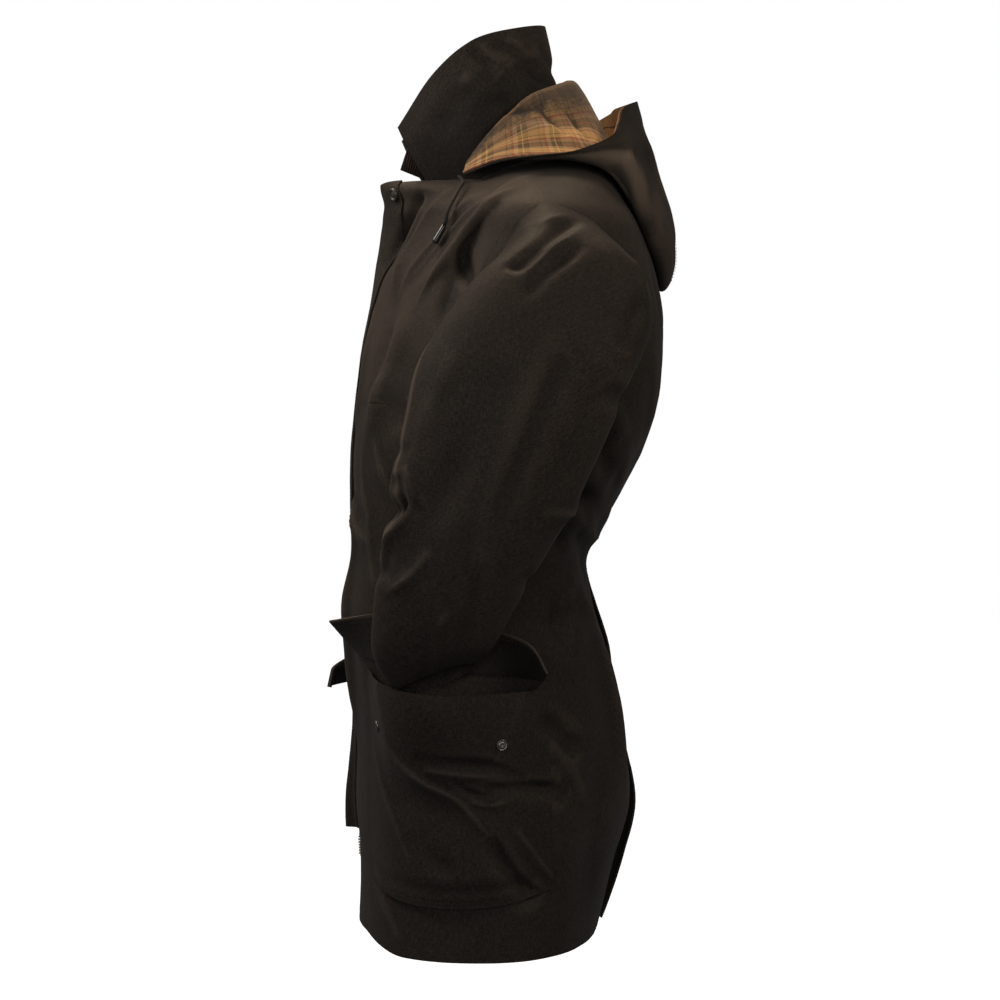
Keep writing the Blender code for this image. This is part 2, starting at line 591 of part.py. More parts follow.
def cord(name, points, material):
    """A round cord through the points, closed at both ends."""
    forward = np.gradient(points, axis=0)
    forward /= np.linalg.norm(forward, axis=1)[:, None]
    across = np.cross(forward, (0, 0, 1))
    across /= np.linalg.norm(across, axis=1)[:, None]
    upward = np.cross(across, forward)
    bm = bmesh.new()
    rings = []
    for k, point in enumerate(points):
        angles = np.arange(8) * math.tau / 8
        ring = point + CORD_RADIUS * (np.outer(np.cos(angles), across[k]) + np.outer(np.sin(angles), upward[k]))
        rings.append([bm.verts.new(place) for place in ring])
    edges = [bm.edges.new((ring[k], ring[k - 1])) for ring in rings for k in range(8)]
    for k in range(len(points) - 1):
        bmesh.ops.bridge_loops(bm, edges=edges[k * 8:k * 8 + 16])
    bmesh.ops.holes_fill(bm, edges=bm.edges)
    bmesh.ops.recalc_face_normals(bm, faces=bm.faces)
    mesh = bpy.data.meshes.new(name)
    bm.to_mesh(mesh)
    bm.free()
    mesh.shade_smooth()
    return add(name, mesh, material)


def cord_end(name, start, end, material):
    """The moulded end of a cord, wider at its foot."""
    start, end = Vector(start), Vector(end)
    bm = bmesh.new()
    bmesh.ops.create_cone(bm, cap_ends=True, segments=12, radius1=CORD_END_RADII[0], radius2=CORD_END_RADII[1],
                          depth=(end - start).length)
    mesh = bpy.data.meshes.new(name)
    bm.to_mesh(mesh)
    bm.free()
    thing = add(name, mesh, material)
    thing.location = (start + end) / 2
    thing.rotation_euler = (end - start).to_track_quat("Z", "Y").to_euler()
    return thing


def paint(name, colour, roughness, metallic=0.0):
    material = bpy.data.materials.new(name)
    material.use_nodes = True
    shader = material.node_tree.nodes["Principled BSDF"]
    shader.inputs["Base Color"].default_value = (*colour, 1)
    shader.inputs["Roughness"].default_value = roughness
    shader.inputs["Metallic"].default_value = metallic
    return material


def make_body(wax):
    wall("left_front", front_panel(1), 12, 20, wax)
    wall("right_front", front_panel(-1), 12, 20, wax, flip=-1)
    wall("back_left", back_panel(1), 8, 20, wax)
    wall("back_right", back_panel(-1), 8, 20, wax, flip=-1)


def make_sleeves(wax):
    wall("left_sleeve", sleeve(1), 18, 14, wax, flip=1, tube=True)
    wall("right_sleeve", sleeve(-1), 18, 14, wax, flip=-1, tube=True)


def make_collar(wax, cord_cloth):
    wall("collar", collar, 18, 4, wax, thickness=LAYER)
    wall("collar_facing", collar, 18, 4, cord_cloth, outer=-LAYER - SEAM, thickness=LAYER)
    wall("throat_tab", throat_tab, 3, 3, cord_cloth)


def make_hood(wax, check):
    for name, start in (("left", 0.0), ("right", 0.5)):
        gap = SEAM / 0.8 if name == "right" else -SEAM / 0.8

        def half(s, t, start=start, gap=gap):
            return hood(start + s * 0.5 + gap * (s if start == 0 else 1 - s), t)
        wall(f"hood_{name}", half, 10, 14, wax, thickness=LAYER, flip=-1)
        wall(f"hood_lining_{name}", half, 10, 14, check, outer=LAYER + SEAM, thickness=LAYER, flip=-1)


def make_pockets(wax):
    for name, side in (("left", 1), ("right", -1)):
        wall(f"{name}_pocket", pocket(name, side), 12, 9, wax, flip=side)
    wall("left_flap", left_flap, 8, 3, wax)
    wall("right_flap", right_flap, 8, 3, wax)


def make_closing(wax, tape, brass, horn):
    wall("storm_flap", storm_flap, 3, 20, wax)
    wall("zip_left", zip_tape(1), 1, 20, tape, thickness=LAYER)
    wall("zip_right", zip_tape(-1), 1, 20, tape, thickness=LAYER, flip=-1)
    wall("teeth_left", zip_teeth(1), 1, 20, brass, thickness=TEETH_THICK)
    wall("teeth_right", zip_teeth(-1), 1, 20, brass, thickness=TEETH_THICK, flip=-1)
    steps = np.linspace(0, 1, 400)
    t = np.interp(BUTTON_LEVEL, front_levels(steps, STORM_FLAP_BOTTOM), steps)
    edge = storm_edge(np.array([BUTTON_LEVEL]))[0]
    s = (edge_angle(BUTTON_LEVEL, FRONT_EDGE) + BUTTON_ANGLE - edge) / STORM_FLAP_WIDTH
    place, facing = on_cloth(storm_flap, s, t, LIFT)
    disc("button", place, facing, BUTTON_RADIUS, BUTTON_HEIGHT, BUTTON_RADIUS * 0.3, horn)


def make_studs(metal):
    for name, side in (("left", 1), ("right", -1)):
        for where, s, t in STUDS:
            place, facing = on_cloth(pocket(name, side), s, t, LIFT, side)
            disc(f"stud_{name}_{where}", place, facing, STUD_RADIUS, STUD_HEIGHT, STUD_RADIUS * 0.35, metal)


def make_cords(cord_black, plastic):
    laid = np.vstack([CORD_EXIT, on_front(CORD_ROUTE, CORD_STANDOFF)])
    knots = np.linspace(0, 1, len(laid))
    points = curve(np.linspace(0, 1, 12), knots, laid)
    ends = on_front(CORD_END_ROUTE, CORD_STANDOFF)
    for name, side in (("left", 1), ("right", -1)):
        turn = np.array([side, 1, 1])
        cord(f"hood_cord_{name}", points * turn, cord_black)
        cord_end(f"cord_end_{name}", ends[0] * turn, ends[1] * turn, plastic)


for thing in list(bpy.data.objects):
    bpy.data.objects.remove(thing)
jacket = bpy.data.collections.new("wax_jacket")
bpy.context.scene.collection.children.link(jacket)

wax_cotton = paint("wax_cotton", (0.030, 0.022, 0.016), 0.55)
check_lining = paint("check_lining", (0.35, 0.24, 0.12), 0.85)
corduroy = paint("corduroy", (0.035, 0.020, 0.015), 0.9)
zip_cloth = paint("zip_tape", (0.020, 0.016, 0.013), 0.8)
zip_brass = paint("zip_brass", (0.45, 0.30, 0.11), 0.35, 1.0)
horn_button = paint("horn_button", (0.035, 0.028, 0.024), 0.35)
stud_metal = paint("stud_metal", (0.10, 0.09, 0.08), 0.35, 0.9)
cord_cotton = paint("cord_cotton", (0.012, 0.011, 0.010), 0.8)
cord_plastic = paint("cord_plastic", (0.012, 0.012, 0.013), 0.25)

make_body(wax_cotton)
make_sleeves(wax_cotton)
make_collar(wax_cotton, corduroy)
make_hood(wax_cotton, check_lining)
make_pockets(wax_cotton)
make_closing(wax_cotton, zip_cloth, zip_brass, horn_button)
make_studs(stud_metal)
make_cords(cord_cotton, cord_plastic)
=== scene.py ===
"""The looks of a hooded wax jacket: creased cloth, seams, stitching, lining, fastenings and cords.

Lengths are metres in the part's frame: the wearer faces -Y, the left side is +X and +Z is up.
"""

import math
from collections import namedtuple

import bmesh
import bpy
import numpy as np
from mathutils import Matrix, Vector, noise


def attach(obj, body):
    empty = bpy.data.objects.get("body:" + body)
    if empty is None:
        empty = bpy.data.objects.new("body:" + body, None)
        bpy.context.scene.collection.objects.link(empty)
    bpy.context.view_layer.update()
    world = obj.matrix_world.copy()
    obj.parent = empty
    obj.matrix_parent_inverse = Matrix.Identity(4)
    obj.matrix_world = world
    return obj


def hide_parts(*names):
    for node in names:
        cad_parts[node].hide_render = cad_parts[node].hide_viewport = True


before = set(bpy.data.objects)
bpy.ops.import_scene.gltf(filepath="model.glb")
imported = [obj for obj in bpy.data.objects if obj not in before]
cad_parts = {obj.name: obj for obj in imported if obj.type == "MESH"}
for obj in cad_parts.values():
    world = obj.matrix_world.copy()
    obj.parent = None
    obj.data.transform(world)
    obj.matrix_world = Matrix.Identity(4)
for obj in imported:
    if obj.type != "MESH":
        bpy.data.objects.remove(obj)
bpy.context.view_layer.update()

# Cloth sizes: single and thin layers, the room between layers, and how far a layer lies off the one below
CLOTH, LAYER, SEAM, LIFT = 0.002, 0.0014, 0.0004, 0.0007

# Step for measuring slopes, distance at which points are merged, and the shortest length that counts
STEP, MERGE, TINY = 1e-4, 1e-6, 1e-12

# Body rings from hem to neck: depths in y, half width in x, and how square each half is
Ring = namedtuple("Ring", "level front mid back half_width front_power back_power front_tilt back_tilt")
RINGS = [
    Ring(-0.816, -0.150, -0.020, 0.103, 0.236, 2.30, 2.4, 0.014, 0.006),
    Ring(-0.740, -0.1485, -0.020, 0.121, 0.236, 2.30, 2.4, 0.010, 0.004),
    Ring(-0.683, -0.153, -0.020, 0.136, 0.232, 2.30, 2.4, 0.000, 0.000),
    Ring(-0.600, -0.1525, -0.020, 0.128, 0.226, 2.30, 2.4, 0.000, 0.000),
    Ring(-0.521, -0.1595, -0.020, 0.112, 0.217, 2.30, 2.4, 0.000, 0.000),
    Ring(-0.468, -0.1645, -0.018, 0.098, 0.208, 2.30, 2.4, 0.000, 0.000),
    Ring(-0.414, -0.1575, -0.016, 0.094, 0.203, 2.30, 2.4, 0.000, 0.000),
    Ring(-0.360, -0.1585, -0.012, 0.1245, 0.204, 2.30, 2.5, 0.000, 0.000),
    Ring(-0.306, -0.1575, -0.004, 0.152, 0.207, 2.30, 2.8, 0.000, 0.000),
    Ring(-0.252, -0.1525, 0.002, 0.1685, 0.209, 2.20, 3.1, 0.000, 0.000),
    Ring(-0.199, -0.1455, 0.008, 0.1735, 0.211, 2.00, 3.3, 0.000, 0.000),
    Ring(-0.145, -0.1355, 0.015, 0.169, 0.213, 1.75, 3.3, 0.000, 0.000),
    Ring(-0.100, -0.1295, 0.025, 0.157, 0.212, 1.50, 3.1, 0.000, 0.000),
    Ring(-0.062, -0.1275, 0.030, 0.137, 0.204, 1.40, 2.8, 0.000, 0.008),
    Ring(-0.030, -0.1275, 0.020, 0.104, 0.142, 1.70, 2.5, -0.009, 0.022),
    Ring(-0.012, -0.128, 0.000, 0.062, 0.080, 2.50, 2.2, -0.013, 0.032),
]
HEM, NECK = RINGS[0].level, RINGS[-1].level
RING_LEVELS = np.array([ring.level for ring in RINGS])
RING_SIZES = np.array([ring[1:] for ring in RINGS])
# The tilt of a ring starts further forward at the hem than at the chest
TILT_LEVELS, TILT_STARTS, TILT_SPREAD = [-0.7, -0.1], [0.35, -0.1], 0.4

# Edges of the panels, as angles from the centre front at each level
Edge = namedtuple("Edge", "level angle")
FRONT_EDGE = [
    Edge(-0.25, 1.2), Edge(-0.20, 2.6), Edge(-0.15, 5.6), Edge(-0.10, 9.6), Edge(-0.05, 13.0),
    Edge(-0.012, 15.0),
]
SIDE_SEAM, SHOULDER_SEAM = 112.0, 92.0
ARMPIT, SHOULDER_POINT, SHOULDER_ANGLE = -0.262, -0.062, 94.0
ARMHOLE_FRONT = [
    Edge(ARMPIT, SIDE_SEAM), Edge(-0.260, 100.0), Edge(-0.254, 87.0), Edge(-0.243, 76.0),
    Edge(-0.228, 69.5), Edge(-0.210, 69.5), Edge(-0.190, 73.5), Edge(-0.160, 79.6),
    Edge(-0.138, 82.6), Edge(-0.111, 84.5), Edge(-0.081, 88.0), Edge(SHOULDER_POINT, SHOULDER_ANGLE),
]
ARMHOLE_BACK = [
    Edge(ARMPIT, SIDE_SEAM), Edge(-0.250, 118.0), Edge(-0.232, 123.0), Edge(-0.200, 129.0),
    Edge(-0.170, 130.7), Edge(-0.141, 127.4), Edge(-0.109, 119.0), Edge(-0.081, 107.0),
    Edge(SHOULDER_POINT, SHOULDER_ANGLE),
]
# Rows of a panel, as shares of its length up to just below the armpit, the shoulder point and the neck
ARMPIT_ROOM = 0.012
ROW_SHARES = [0, 0.41, 0.86, 1]

# The centre vent: how far its halves stand back, where that starts, and the wave down the right half
VENT_TOP, VENT_FLARE, VENT_WAVE, VENT_OPENING = -0.437, 0.014, 0.30, 0.9
VENT_FADE, VENT_ANGLES = (-0.02, 0.10), (140, 180)
VENT_MEAN, VENT_SWING, LEFT_VENT_SHARE = 0.55, 0.45, 0.15

# The body's large folds, as in the solids: where each starts and ends, its half width and height.
# Their places lie on cloth rolled out flat from a body of one radius.
Fold = namedtuple("Fold", "angle0 level0 angle1 level1 width height")
BODY_FOLDS = [
    Fold(42, -0.024, 17, -0.120, 0.014, -0.010),
    Fold(82, -0.048, 57, -0.150, 0.011, 0.006),
    Fold(73, -0.085, 70, -0.190, 0.012, -0.008),
    Fold(58, -0.150, 40, -0.300, 0.020, 0.006),
    Fold(30, -0.330, 24, -0.600, 0.016, 0.005),
    Fold(14, -0.260, 17, -0.520, 0.014, -0.005),
    Fold(128, -0.300, 158, -0.410, 0.016, 0.006),
    Fold(118, -0.380, 150, -0.440, 0.014, -0.006),
    Fold(112, -0.520, 140, -0.470, 0.016, 0.007),
    Fold(140, -0.480, 152, -0.660, 0.022, 0.008),
    Fold(128, -0.600, 122, -0.790, 0.024, -0.006),
    Fold(160, -0.180, 150, -0.330, 0.022, -0.006),
]
FLAT_RADIUS, FOLD_ENDS = 0.2, (-0.1, 0.3)

# Sleeve sections from cap to cuff: front and rear edges from the side, outer and inner edges from the front
Section = namedtuple("Section", "front_y front_z rear_y rear_z outer_x outer_z inner_x inner_z right_shift")
SLEEVE = [
    Section(-0.044, -0.190, 0.150, -0.180, 0.264, -0.112, 0.216, -0.272, 0.000),
    Section(-0.080, -0.232, 0.132, -0.228, 0.300, -0.190, 0.220, -0.290, 0.000),
    Section(-0.094, -0.285, 0.107, -0.290, 0.312, -0.265, 0.220, -0.325, 0.002),
    Section(-0.107, -0.345, 0.075, -0.360, 0.316, -0.340, 0.220, -0.375, 0.006),
    Section(-0.116, -0.410, 0.041, -0.420, 0.311, -0.412, 0.219, -0.430, 0.018),
    Section(-0.1235, -0.465, 0.011, -0.472, 0.301, -0.470, 0.221, -0.475, 0.032),
    Section(-0.124, -0.512, -0.006, -0.502, 0.285, -0.508, 0.225, -0.508, 0.046),
    Section(-0.103, -0.550, -0.024, -0.522, 0.258, -0.528, 0.228, -0.546, 0.058),
]
# Room between sleeve and body, more beside the pocket's flap, and the rows in which each begins
SLEEVE_CLEAR, FLAP_CLEAR = 0.004, 0.013
CAP_ROWS, CLEAR_ROWS, FLAP_ROWS = (0.01, 0.07), (0, 0.10), (0.74, 0.82)
ARMHOLE_STEPS = 160

# Collar sections from its front end to the centre back
CollarSection = namedtuple("CollarSection", "base_x base_y base_z top_x top_y top_z bow")
COLLAR = [
    CollarSection(0.063, -0.0715, -0.0215, 0.052, -0.1080, 0.033, 0.003),
    CollarSection(0.0785, -0.034, -0.0160, 0.073, -0.0705, 0.086, 0.005),
    CollarSection(0.083, -0.004, -0.0060, 0.078, -0.0285, 0.1210, 0.006),
    CollarSection(0.066, 0.040, 0.0130, 0.064, 0.020, 0.1365, 0.005),
    CollarSection(0.000, 0.067, 0.0245, 0.000, 0.049, 0.148, 0.004),
]
# The collar's foot goes this far down behind the neck edge
COLLAR_SINK = 0.012

# Hood sections round the neck, each from the neck seam over a crest, down into the pouch and up to the rim
HoodSection = namedtuple(
    "HoodSection",
    "angle neck_r neck_z crest_r crest_z slope_r slope_z inner_r inner_z pouch_r pouch_z belly_r belly_z"
    " rim_r rim_z right_rim_z",
)
HOOD = [
    HoodSection(69, 0.0885, -0.016, 0.0920, -0.008, 0.0970, -0.012, 0.0995, -0.0155, 0.1015, -0.0180,
                0.1035, -0.0200, 0.1055, -0.0215, -0.0215),
    HoodSection(90, 0.0910, -0.001, 0.0945, 0.032, 0.1050, 0.014, 0.1105, 0.000, 0.1145, -0.0080,
                0.1185, -0.0105, 0.1220, -0.0095, -0.0085),
    HoodSection(107, 0.0900, 0.005, 0.0900, 0.056, 0.1055, 0.032, 0.1185, 0.006, 0.1285, -0.0080,
                0.1350, -0.0100, 0.1390, -0.0055, 0.020),
    HoodSection(122, 0.0855, 0.012, 0.0830, 0.068, 0.1070, 0.038, 0.1270, 0.007, 0.1420, -0.0095,
                0.1500, -0.0085, 0.1495, -0.001, 0.048),
    HoodSection(138, 0.0800, 0.018, 0.0785, 0.076, 0.1060, 0.043, 0.1320, 0.005, 0.1540, -0.0215,
                0.1660, -0.0110, 0.1520, 0.015, 0.064),
    HoodSection(148, 0.0785, 0.0215, 0.0780, 0.080, 0.1050, 0.046, 0.1375, -0.008, 0.1680, -0.0580,
                0.1800, -0.0400, 0.1450, 0.034, 0.067),
    HoodSection(158, 0.0775, 0.025, 0.0775, 0.084, 0.1040, 0.048, 0.1420, -0.028, 0.1750, -0.1030,
                0.1870, -0.0660, 0.1400, 0.054, 0.070),
    HoodSection(180, 0.0765, 0.028, 0.0770, 0.088, 0.1030, 0.050, 0.1470, -0.045, 0.1715, -0.1330,
                0.1860, -0.0850, 0.1450, 0.068, 0.068),
]
RIM_Z, RIGHT_RIM_Z = HoodSection._fields.index("rim_z"), HoodSection._fields.index("right_rim_z")
RIM_ROLL, RIM_ROWS = 0.0016, (0.92, 0.955)

# Patch pockets on the body: edges as angles, mouth and bottom as levels from front to rear
POCKET_FRONT = {"left": 51.0, "right": 40.0}
POCKET_REAR = 108.0
POCKET_MOUTH = [-0.531, -0.545, -0.552, -0.551, -0.548]
POCKET_BOTTOM = [-0.742, -0.756, -0.762, -0.759, -0.746]
POCKET_BELLY = {"left": 0.015, "right": 0.037}
MOUTH_BULGE = {"left": [0.046, 0.059, 0.050, 0.024, 0.012], "right": [0.008, 0.008, 0.008, 0.006, 0.005]}
MOUTH_DROP = {"left": 0.0, "right": 0.016}
POCKET_FORWARD = {"left": 0.0, "right": 1.0}
POCKET_EDGE, POCKET_BASE_EDGE, POCKET_HEM = {"left": 0.26, "right": 0.23}, 0.16, 0.0035
POCKET_UPWARD = 0.3
POCKET_HEM_TOP, POCKET_HEM_FADE, POCKET_HEM_FRONT, POCKET_HEM_REAR = 0.10, 0.06, (0.04, 0.2), (0.02, 0.1)
MOUTH_ROWS, MOUTH_BULGE_ROWS, MOUTH_SPREAD = (0.6, 1.0), (0.45, 1.0), 0.12
BELLY_MEAN, BELLY_SWELL, BELLY_SHAPE, BELLY_CLOSING = 0.55, 0.45, 0.8, 0.5

# The left flap is pushed up behind the cuff: where each section is sewn on, and its free edge
RaisedFlap = namedtuple("RaisedFlap", "angle level edge_x edge_y edge_z")
LEFT_FLAP = [
    RaisedFlap(41, -0.517, 0.150, -0.174, -0.484),
    RaisedFlap(64, -0.525, 0.189, -0.122, -0.474),
    RaisedFlap(78, -0.528, 0.2075, -0.070, -0.474),
    RaisedFlap(92, -0.533, 0.218, -0.006, -0.489),
    RaisedFlap(101, -0.537, 0.243, 0.029, -0.503),
    RaisedFlap(107, -0.541, 0.246, 0.046, -0.531),
]
FLAP_CRUMPLE = 1.5
# The right flap hangs shut over its pocket
RIGHT_FLAP_TOP, RIGHT_FLAP_DROP = -0.519, 0.047
RIGHT_FLAP_ANGLES = (38.5, 109.0)
RIGHT_FLAP_STEP, RIGHT_FLAP_LEAN = 0.040, 0.014
RIGHT_FLAP_ENDS, RIGHT_FLAP_STEP_ROWS = (-0.25, 0.1), (0.0, 0.6)

# Front closing
STORM_FLAP_WIDTH, STORM_OVERLAP, STORM_OVERLAP_TOP = 17.0, 7.0, 3.0
STORM_FLAP_BOTTOM, STORM_THICKNESS, STORM_FREE = -0.715, 0.0026, (0.1, 0.8)
STORM_FOOT, STORM_FOOT_LEVEL = 0.013, -0.550
ZIP_TAPE_ANGLE, ZIP_EDGE, ZIP_BOTTOM, ZIP_TOP = 6.0, 1.0, -0.752, -0.005
# The zip's foot comes forward, and the tape goes back to its depth above it
ZIP_LEVELS = [ZIP_BOTTOM, ZIP_BOTTOM + 0.02, ZIP_BOTTOM + 0.05]
ZIP_DEPTHS = [0.0012, 0.0012, -0.0056]
# A tooth's size along the zip, across it and out of it
TOOTH_PITCH, TOOTH_SIZE, TOOTH_LIFT = 0.0029, (0.0016, 0.0022, 0.0034), 0.0006
BUTTON_LEVEL, BUTTON_ANGLE, BUTTON_STEPS = -0.0276, 10.0, 400
BUTTON_PROFILE = [(0.0, 0.0026), (0.0030, 0.0024), (0.0036, 0.0017), (0.0047, 0.0017), (0.0052, 0.0032),
                  (0.0060, 0.0034), (0.0067, 0.0027), (0.0069, 0.0013), (0.0064, 0.0)]
STUDS = [("front", 0.13, 0.78), ("rear", 0.78, 0.76)]
STUD_PROFILE = [(0.0, 0.0012), (0.0016, 0.0012), (0.0019, 0.0022), (0.0026, 0.0024), (0.0030, 0.0013),
                (0.0042, 0.0011), (0.0047, 0.0019), (0.0053, 0.0019), (0.0056, 0.0008), (0.0055, 0.0)]

# The throat tab behind the collar's right end, by its corners
TAB_CORNERS = {"rear_low": (-0.050, -0.074, -0.013), "front_low": (-0.040, -0.109, 0.000),
               "rear_high": (-0.055, -0.068, 0.022), "front_high": (-0.043, -0.100, 0.028)}
TAB_BOW = 0.003

# Hood cords: a point of the rim, then places on the front panel, as angle and level
CORD_RADIUS = 0.0019
CORD_EXIT = (0.0995, -0.0425, -0.0245)
CORD_ROUTE = [(65.7, -0.0300), (64.3, -0.040), (63.9, -0.051), (63.7, -0.061), (63.4, -0.071),
              (62.9, -0.080)]
CORD_END_ROUTE = [(62.5, -0.0845), (60.1, -0.1015)]
CORD_STANDOFF, CORD_STEPS, CORD_SEATED = 0.0062, 32, 0.1
CORD_END_PROFILE = [(0.0, 0.0022), (0.06, 0.0026), (0.12, 0.0028), (0.5, 0.0031), (0.86, 0.0036),
                    (0.95, 0.0035), (1.0, 0.0029)]

# Creases as drawn on a flat view: the line of each, its half width, its height, and how much its right side
# is steeper than its left. Side views are drawn in (y, z), front and back views in (x, z).
Crease = namedtuple("Crease", "line width height steep", defaults=[1.0])
CHEST_SIDE = [
    Crease([(-0.069, -0.039), (-0.086, -0.062), (-0.101, -0.090), (-0.114, -0.118)], 0.009, -0.0050),
    Crease([(-0.045, -0.036), (-0.071, -0.062), (-0.094, -0.098), (-0.111, -0.138), (-0.121, -0.175)],
           0.008, 0.0046),
    Crease([(-0.014, -0.046), (-0.038, -0.062), (-0.061, -0.090), (-0.089, -0.123), (-0.110, -0.156)],
           0.0045, 0.0032),
    Crease([(-0.024, -0.060), (-0.048, -0.084), (-0.074, -0.114), (-0.100, -0.150)], 0.006, -0.0026),
    Crease([(0.044, -0.024), (0.010, -0.039), (-0.010, -0.057), (-0.038, -0.077), (-0.064, -0.103),
            (-0.094, -0.136)], 0.006, 0.0036),
    Crease([(0.030, -0.040), (0.000, -0.062), (-0.020, -0.080)], 0.006, -0.0024),
    Crease([(-0.013, -0.069), (-0.028, -0.090), (-0.038, -0.110), (-0.035, -0.135), (-0.025, -0.150)],
           0.009, -0.0090, 1.5),
    Crease([(0.020, -0.043), (0.001, -0.0535), (-0.030, -0.081), (-0.0515, -0.1095), (-0.072, -0.140),
            (-0.088, -0.170)], 0.004, 0.0030),
    Crease([(-0.141, -0.270), (-0.141, -0.337), (-0.134, -0.377), (-0.131, -0.418), (-0.128, -0.452)],
           0.005, 0.0038),
    Crease([(-0.130, -0.295), (-0.120, -0.331), (-0.113, -0.350)], 0.004, 0.0024),
    Crease([(-0.118, -0.180), (-0.104, -0.240), (-0.096, -0.290)], 0.018, -0.0040),
    Crease([(-0.120, -0.190), (-0.128, -0.240), (-0.134, -0.290)], 0.010, 0.0030),
]
WAIST_SIDE = [
    Crease([(0.103, -0.252), (0.115, -0.2725), (0.1255, -0.298)], 0.0095, 0.0065),
    Crease([(0.0926, -0.278), (0.103, -0.309), (0.115, -0.339)], 0.009, -0.0090),
    Crease([(0.070, -0.344), (0.085, -0.356), (0.104, -0.374)], 0.009, -0.0110),
    Crease([(0.071, -0.360), (0.078, -0.380), (0.0905, -0.401)], 0.0095, 0.0075),
    Crease([(0.040, -0.380), (0.052, -0.397), (0.060, -0.412)], 0.010, -0.0090),
    Crease([(0.074, -0.432), (0.072, -0.461), (0.077, -0.494)], 0.005, 0.0070),
    Crease([(0.055, -0.452), (0.060, -0.486), (0.078, -0.520)], 0.008, -0.0090),
    Crease([(0.034, -0.576), (0.059, -0.591), (0.079, -0.615)], 0.009, -0.0074),
]
SKIRT_SIDE = [
    Crease([(-0.118, -0.591), (-0.093, -0.622), (-0.070, -0.640), (-0.040, -0.656), (-0.010, -0.690)],
           0.005, 0.0056, 0.5),
    Crease([(-0.085, -0.612), (-0.050, -0.616), (-0.010, -0.620), (0.026, -0.634)], 0.005, -0.0066, 0.6),
    Crease([(-0.075, -0.626), (-0.040, -0.630), (0.000, -0.632)], 0.004, 0.0026),
    Crease([(-0.016, -0.643), (0.020, -0.642), (0.050, -0.645), (0.066, -0.656)], 0.005, -0.0074, 0.6),
    Crease([(-0.046, -0.632), (-0.030, -0.646), (-0.006, -0.652)], 0.0035, -0.0030),
    Crease([(-0.030, -0.656), (-0.012, -0.660), (0.012, -0.656)], 0.0035, 0.0026),
    Crease([(-0.010, -0.690), (0.016, -0.730), (0.040, -0.752)], 0.006, -0.0095, 0.6),
    Crease([(-0.126, -0.600), (-0.112, -0.654), (-0.085, -0.726)], 0.0035, 0.0026),
    Crease([(0.014, -0.680), (0.036, -0.714), (0.052, -0.738)], 0.005, 0.0040),
    Crease([(-0.093, -0.690), (-0.060, -0.716), (-0.035, -0.735)], 0.012, -0.0030),
    Crease([(-0.130, -0.745), (-0.112, -0.772), (-0.100, -0.800)], 0.005, 0.0030),
    Crease([(0.052, -0.600), (0.070, -0.626), (0.084, -0.660)], 0.007, 0.0024),
]
BODY_FRONT = [
    Crease([(0.050, -0.150), (0.062, -0.220), (0.058, -0.290)], 0.012, 0.0036),
    Crease([(0.095, -0.120), (0.118, -0.180), (0.120, -0.250)], 0.014, -0.0050),
    Crease([(0.030, -0.330), (0.075, -0.362), (0.130, -0.380)], 0.009, -0.0044),
    Crease([(0.040, -0.352), (0.090, -0.392), (0.140, -0.404)], 0.008, 0.0036),
    Crease([(0.055, -0.420), (0.066, -0.520), (0.060, -0.620)], 0.014, 0.0042),
    Crease([(-0.072, -0.130), (-0.060, -0.190), (-0.078, -0.245)], 0.013, 0.0030),
    Crease([(-0.104, -0.170), (-0.082, -0.250), (-0.092, -0.320)], 0.015, -0.0044),
    Crease([(-0.026, -0.400), (-0.070, -0.408), (-0.112, -0.436)], 0.010, -0.0038),
    Crease([(-0.060, -0.318), (-0.104, -0.352), (-0.146, -0.360)], 0.008, 0.0030),
    Crease([(-0.082, -0.470), (-0.070, -0.560), (-0.086, -0.640)], 0.015, 0.0036),
]
BODY_BACK = [
    Crease([(0.130, -0.110), (0.095, -0.190), (0.050, -0.250)], 0.012, -0.0046),
    Crease([(0.150, -0.200), (0.105, -0.270), (0.050, -0.320)], 0.011, 0.0042),
    Crease([(0.165, -0.300), (0.110, -0.350), (0.040, -0.372)], 0.010, -0.0060),
    Crease([(0.160, -0.360), (0.100, -0.394), (0.030, -0.402)], 0.009, 0.0044),
    Crease([(0.120, -0.430), (0.105, -0.540), (0.118, -0.680)], 0.016, 0.0050),
    Crease([(0.060, -0.450), (0.052, -0.580), (0.066, -0.740)], 0.014, -0.0044),
    Crease([(-0.140, -0.090), (-0.118, -0.180), (-0.076, -0.236)], 0.013, -0.0040),
    Crease([(-0.160, -0.260), (-0.120, -0.300), (-0.080, -0.322)], 0.010, 0.0044),
    Crease([(-0.168, -0.340), (-0.120, -0.362), (-0.060, -0.358)], 0.011, -0.0052),
    Crease([(-0.140, -0.400), (-0.090, -0.424), (-0.050, -0.418)], 0.008, 0.0036),
    Crease([(-0.090, -0.470), (-0.110, -0.580), (-0.096, -0.720)], 0.018, 0.0046),
    Crease([(-0.040, -0.500), (-0.048, -0.610), (-0.036, -0.690)], 0.012, -0.0040),
]
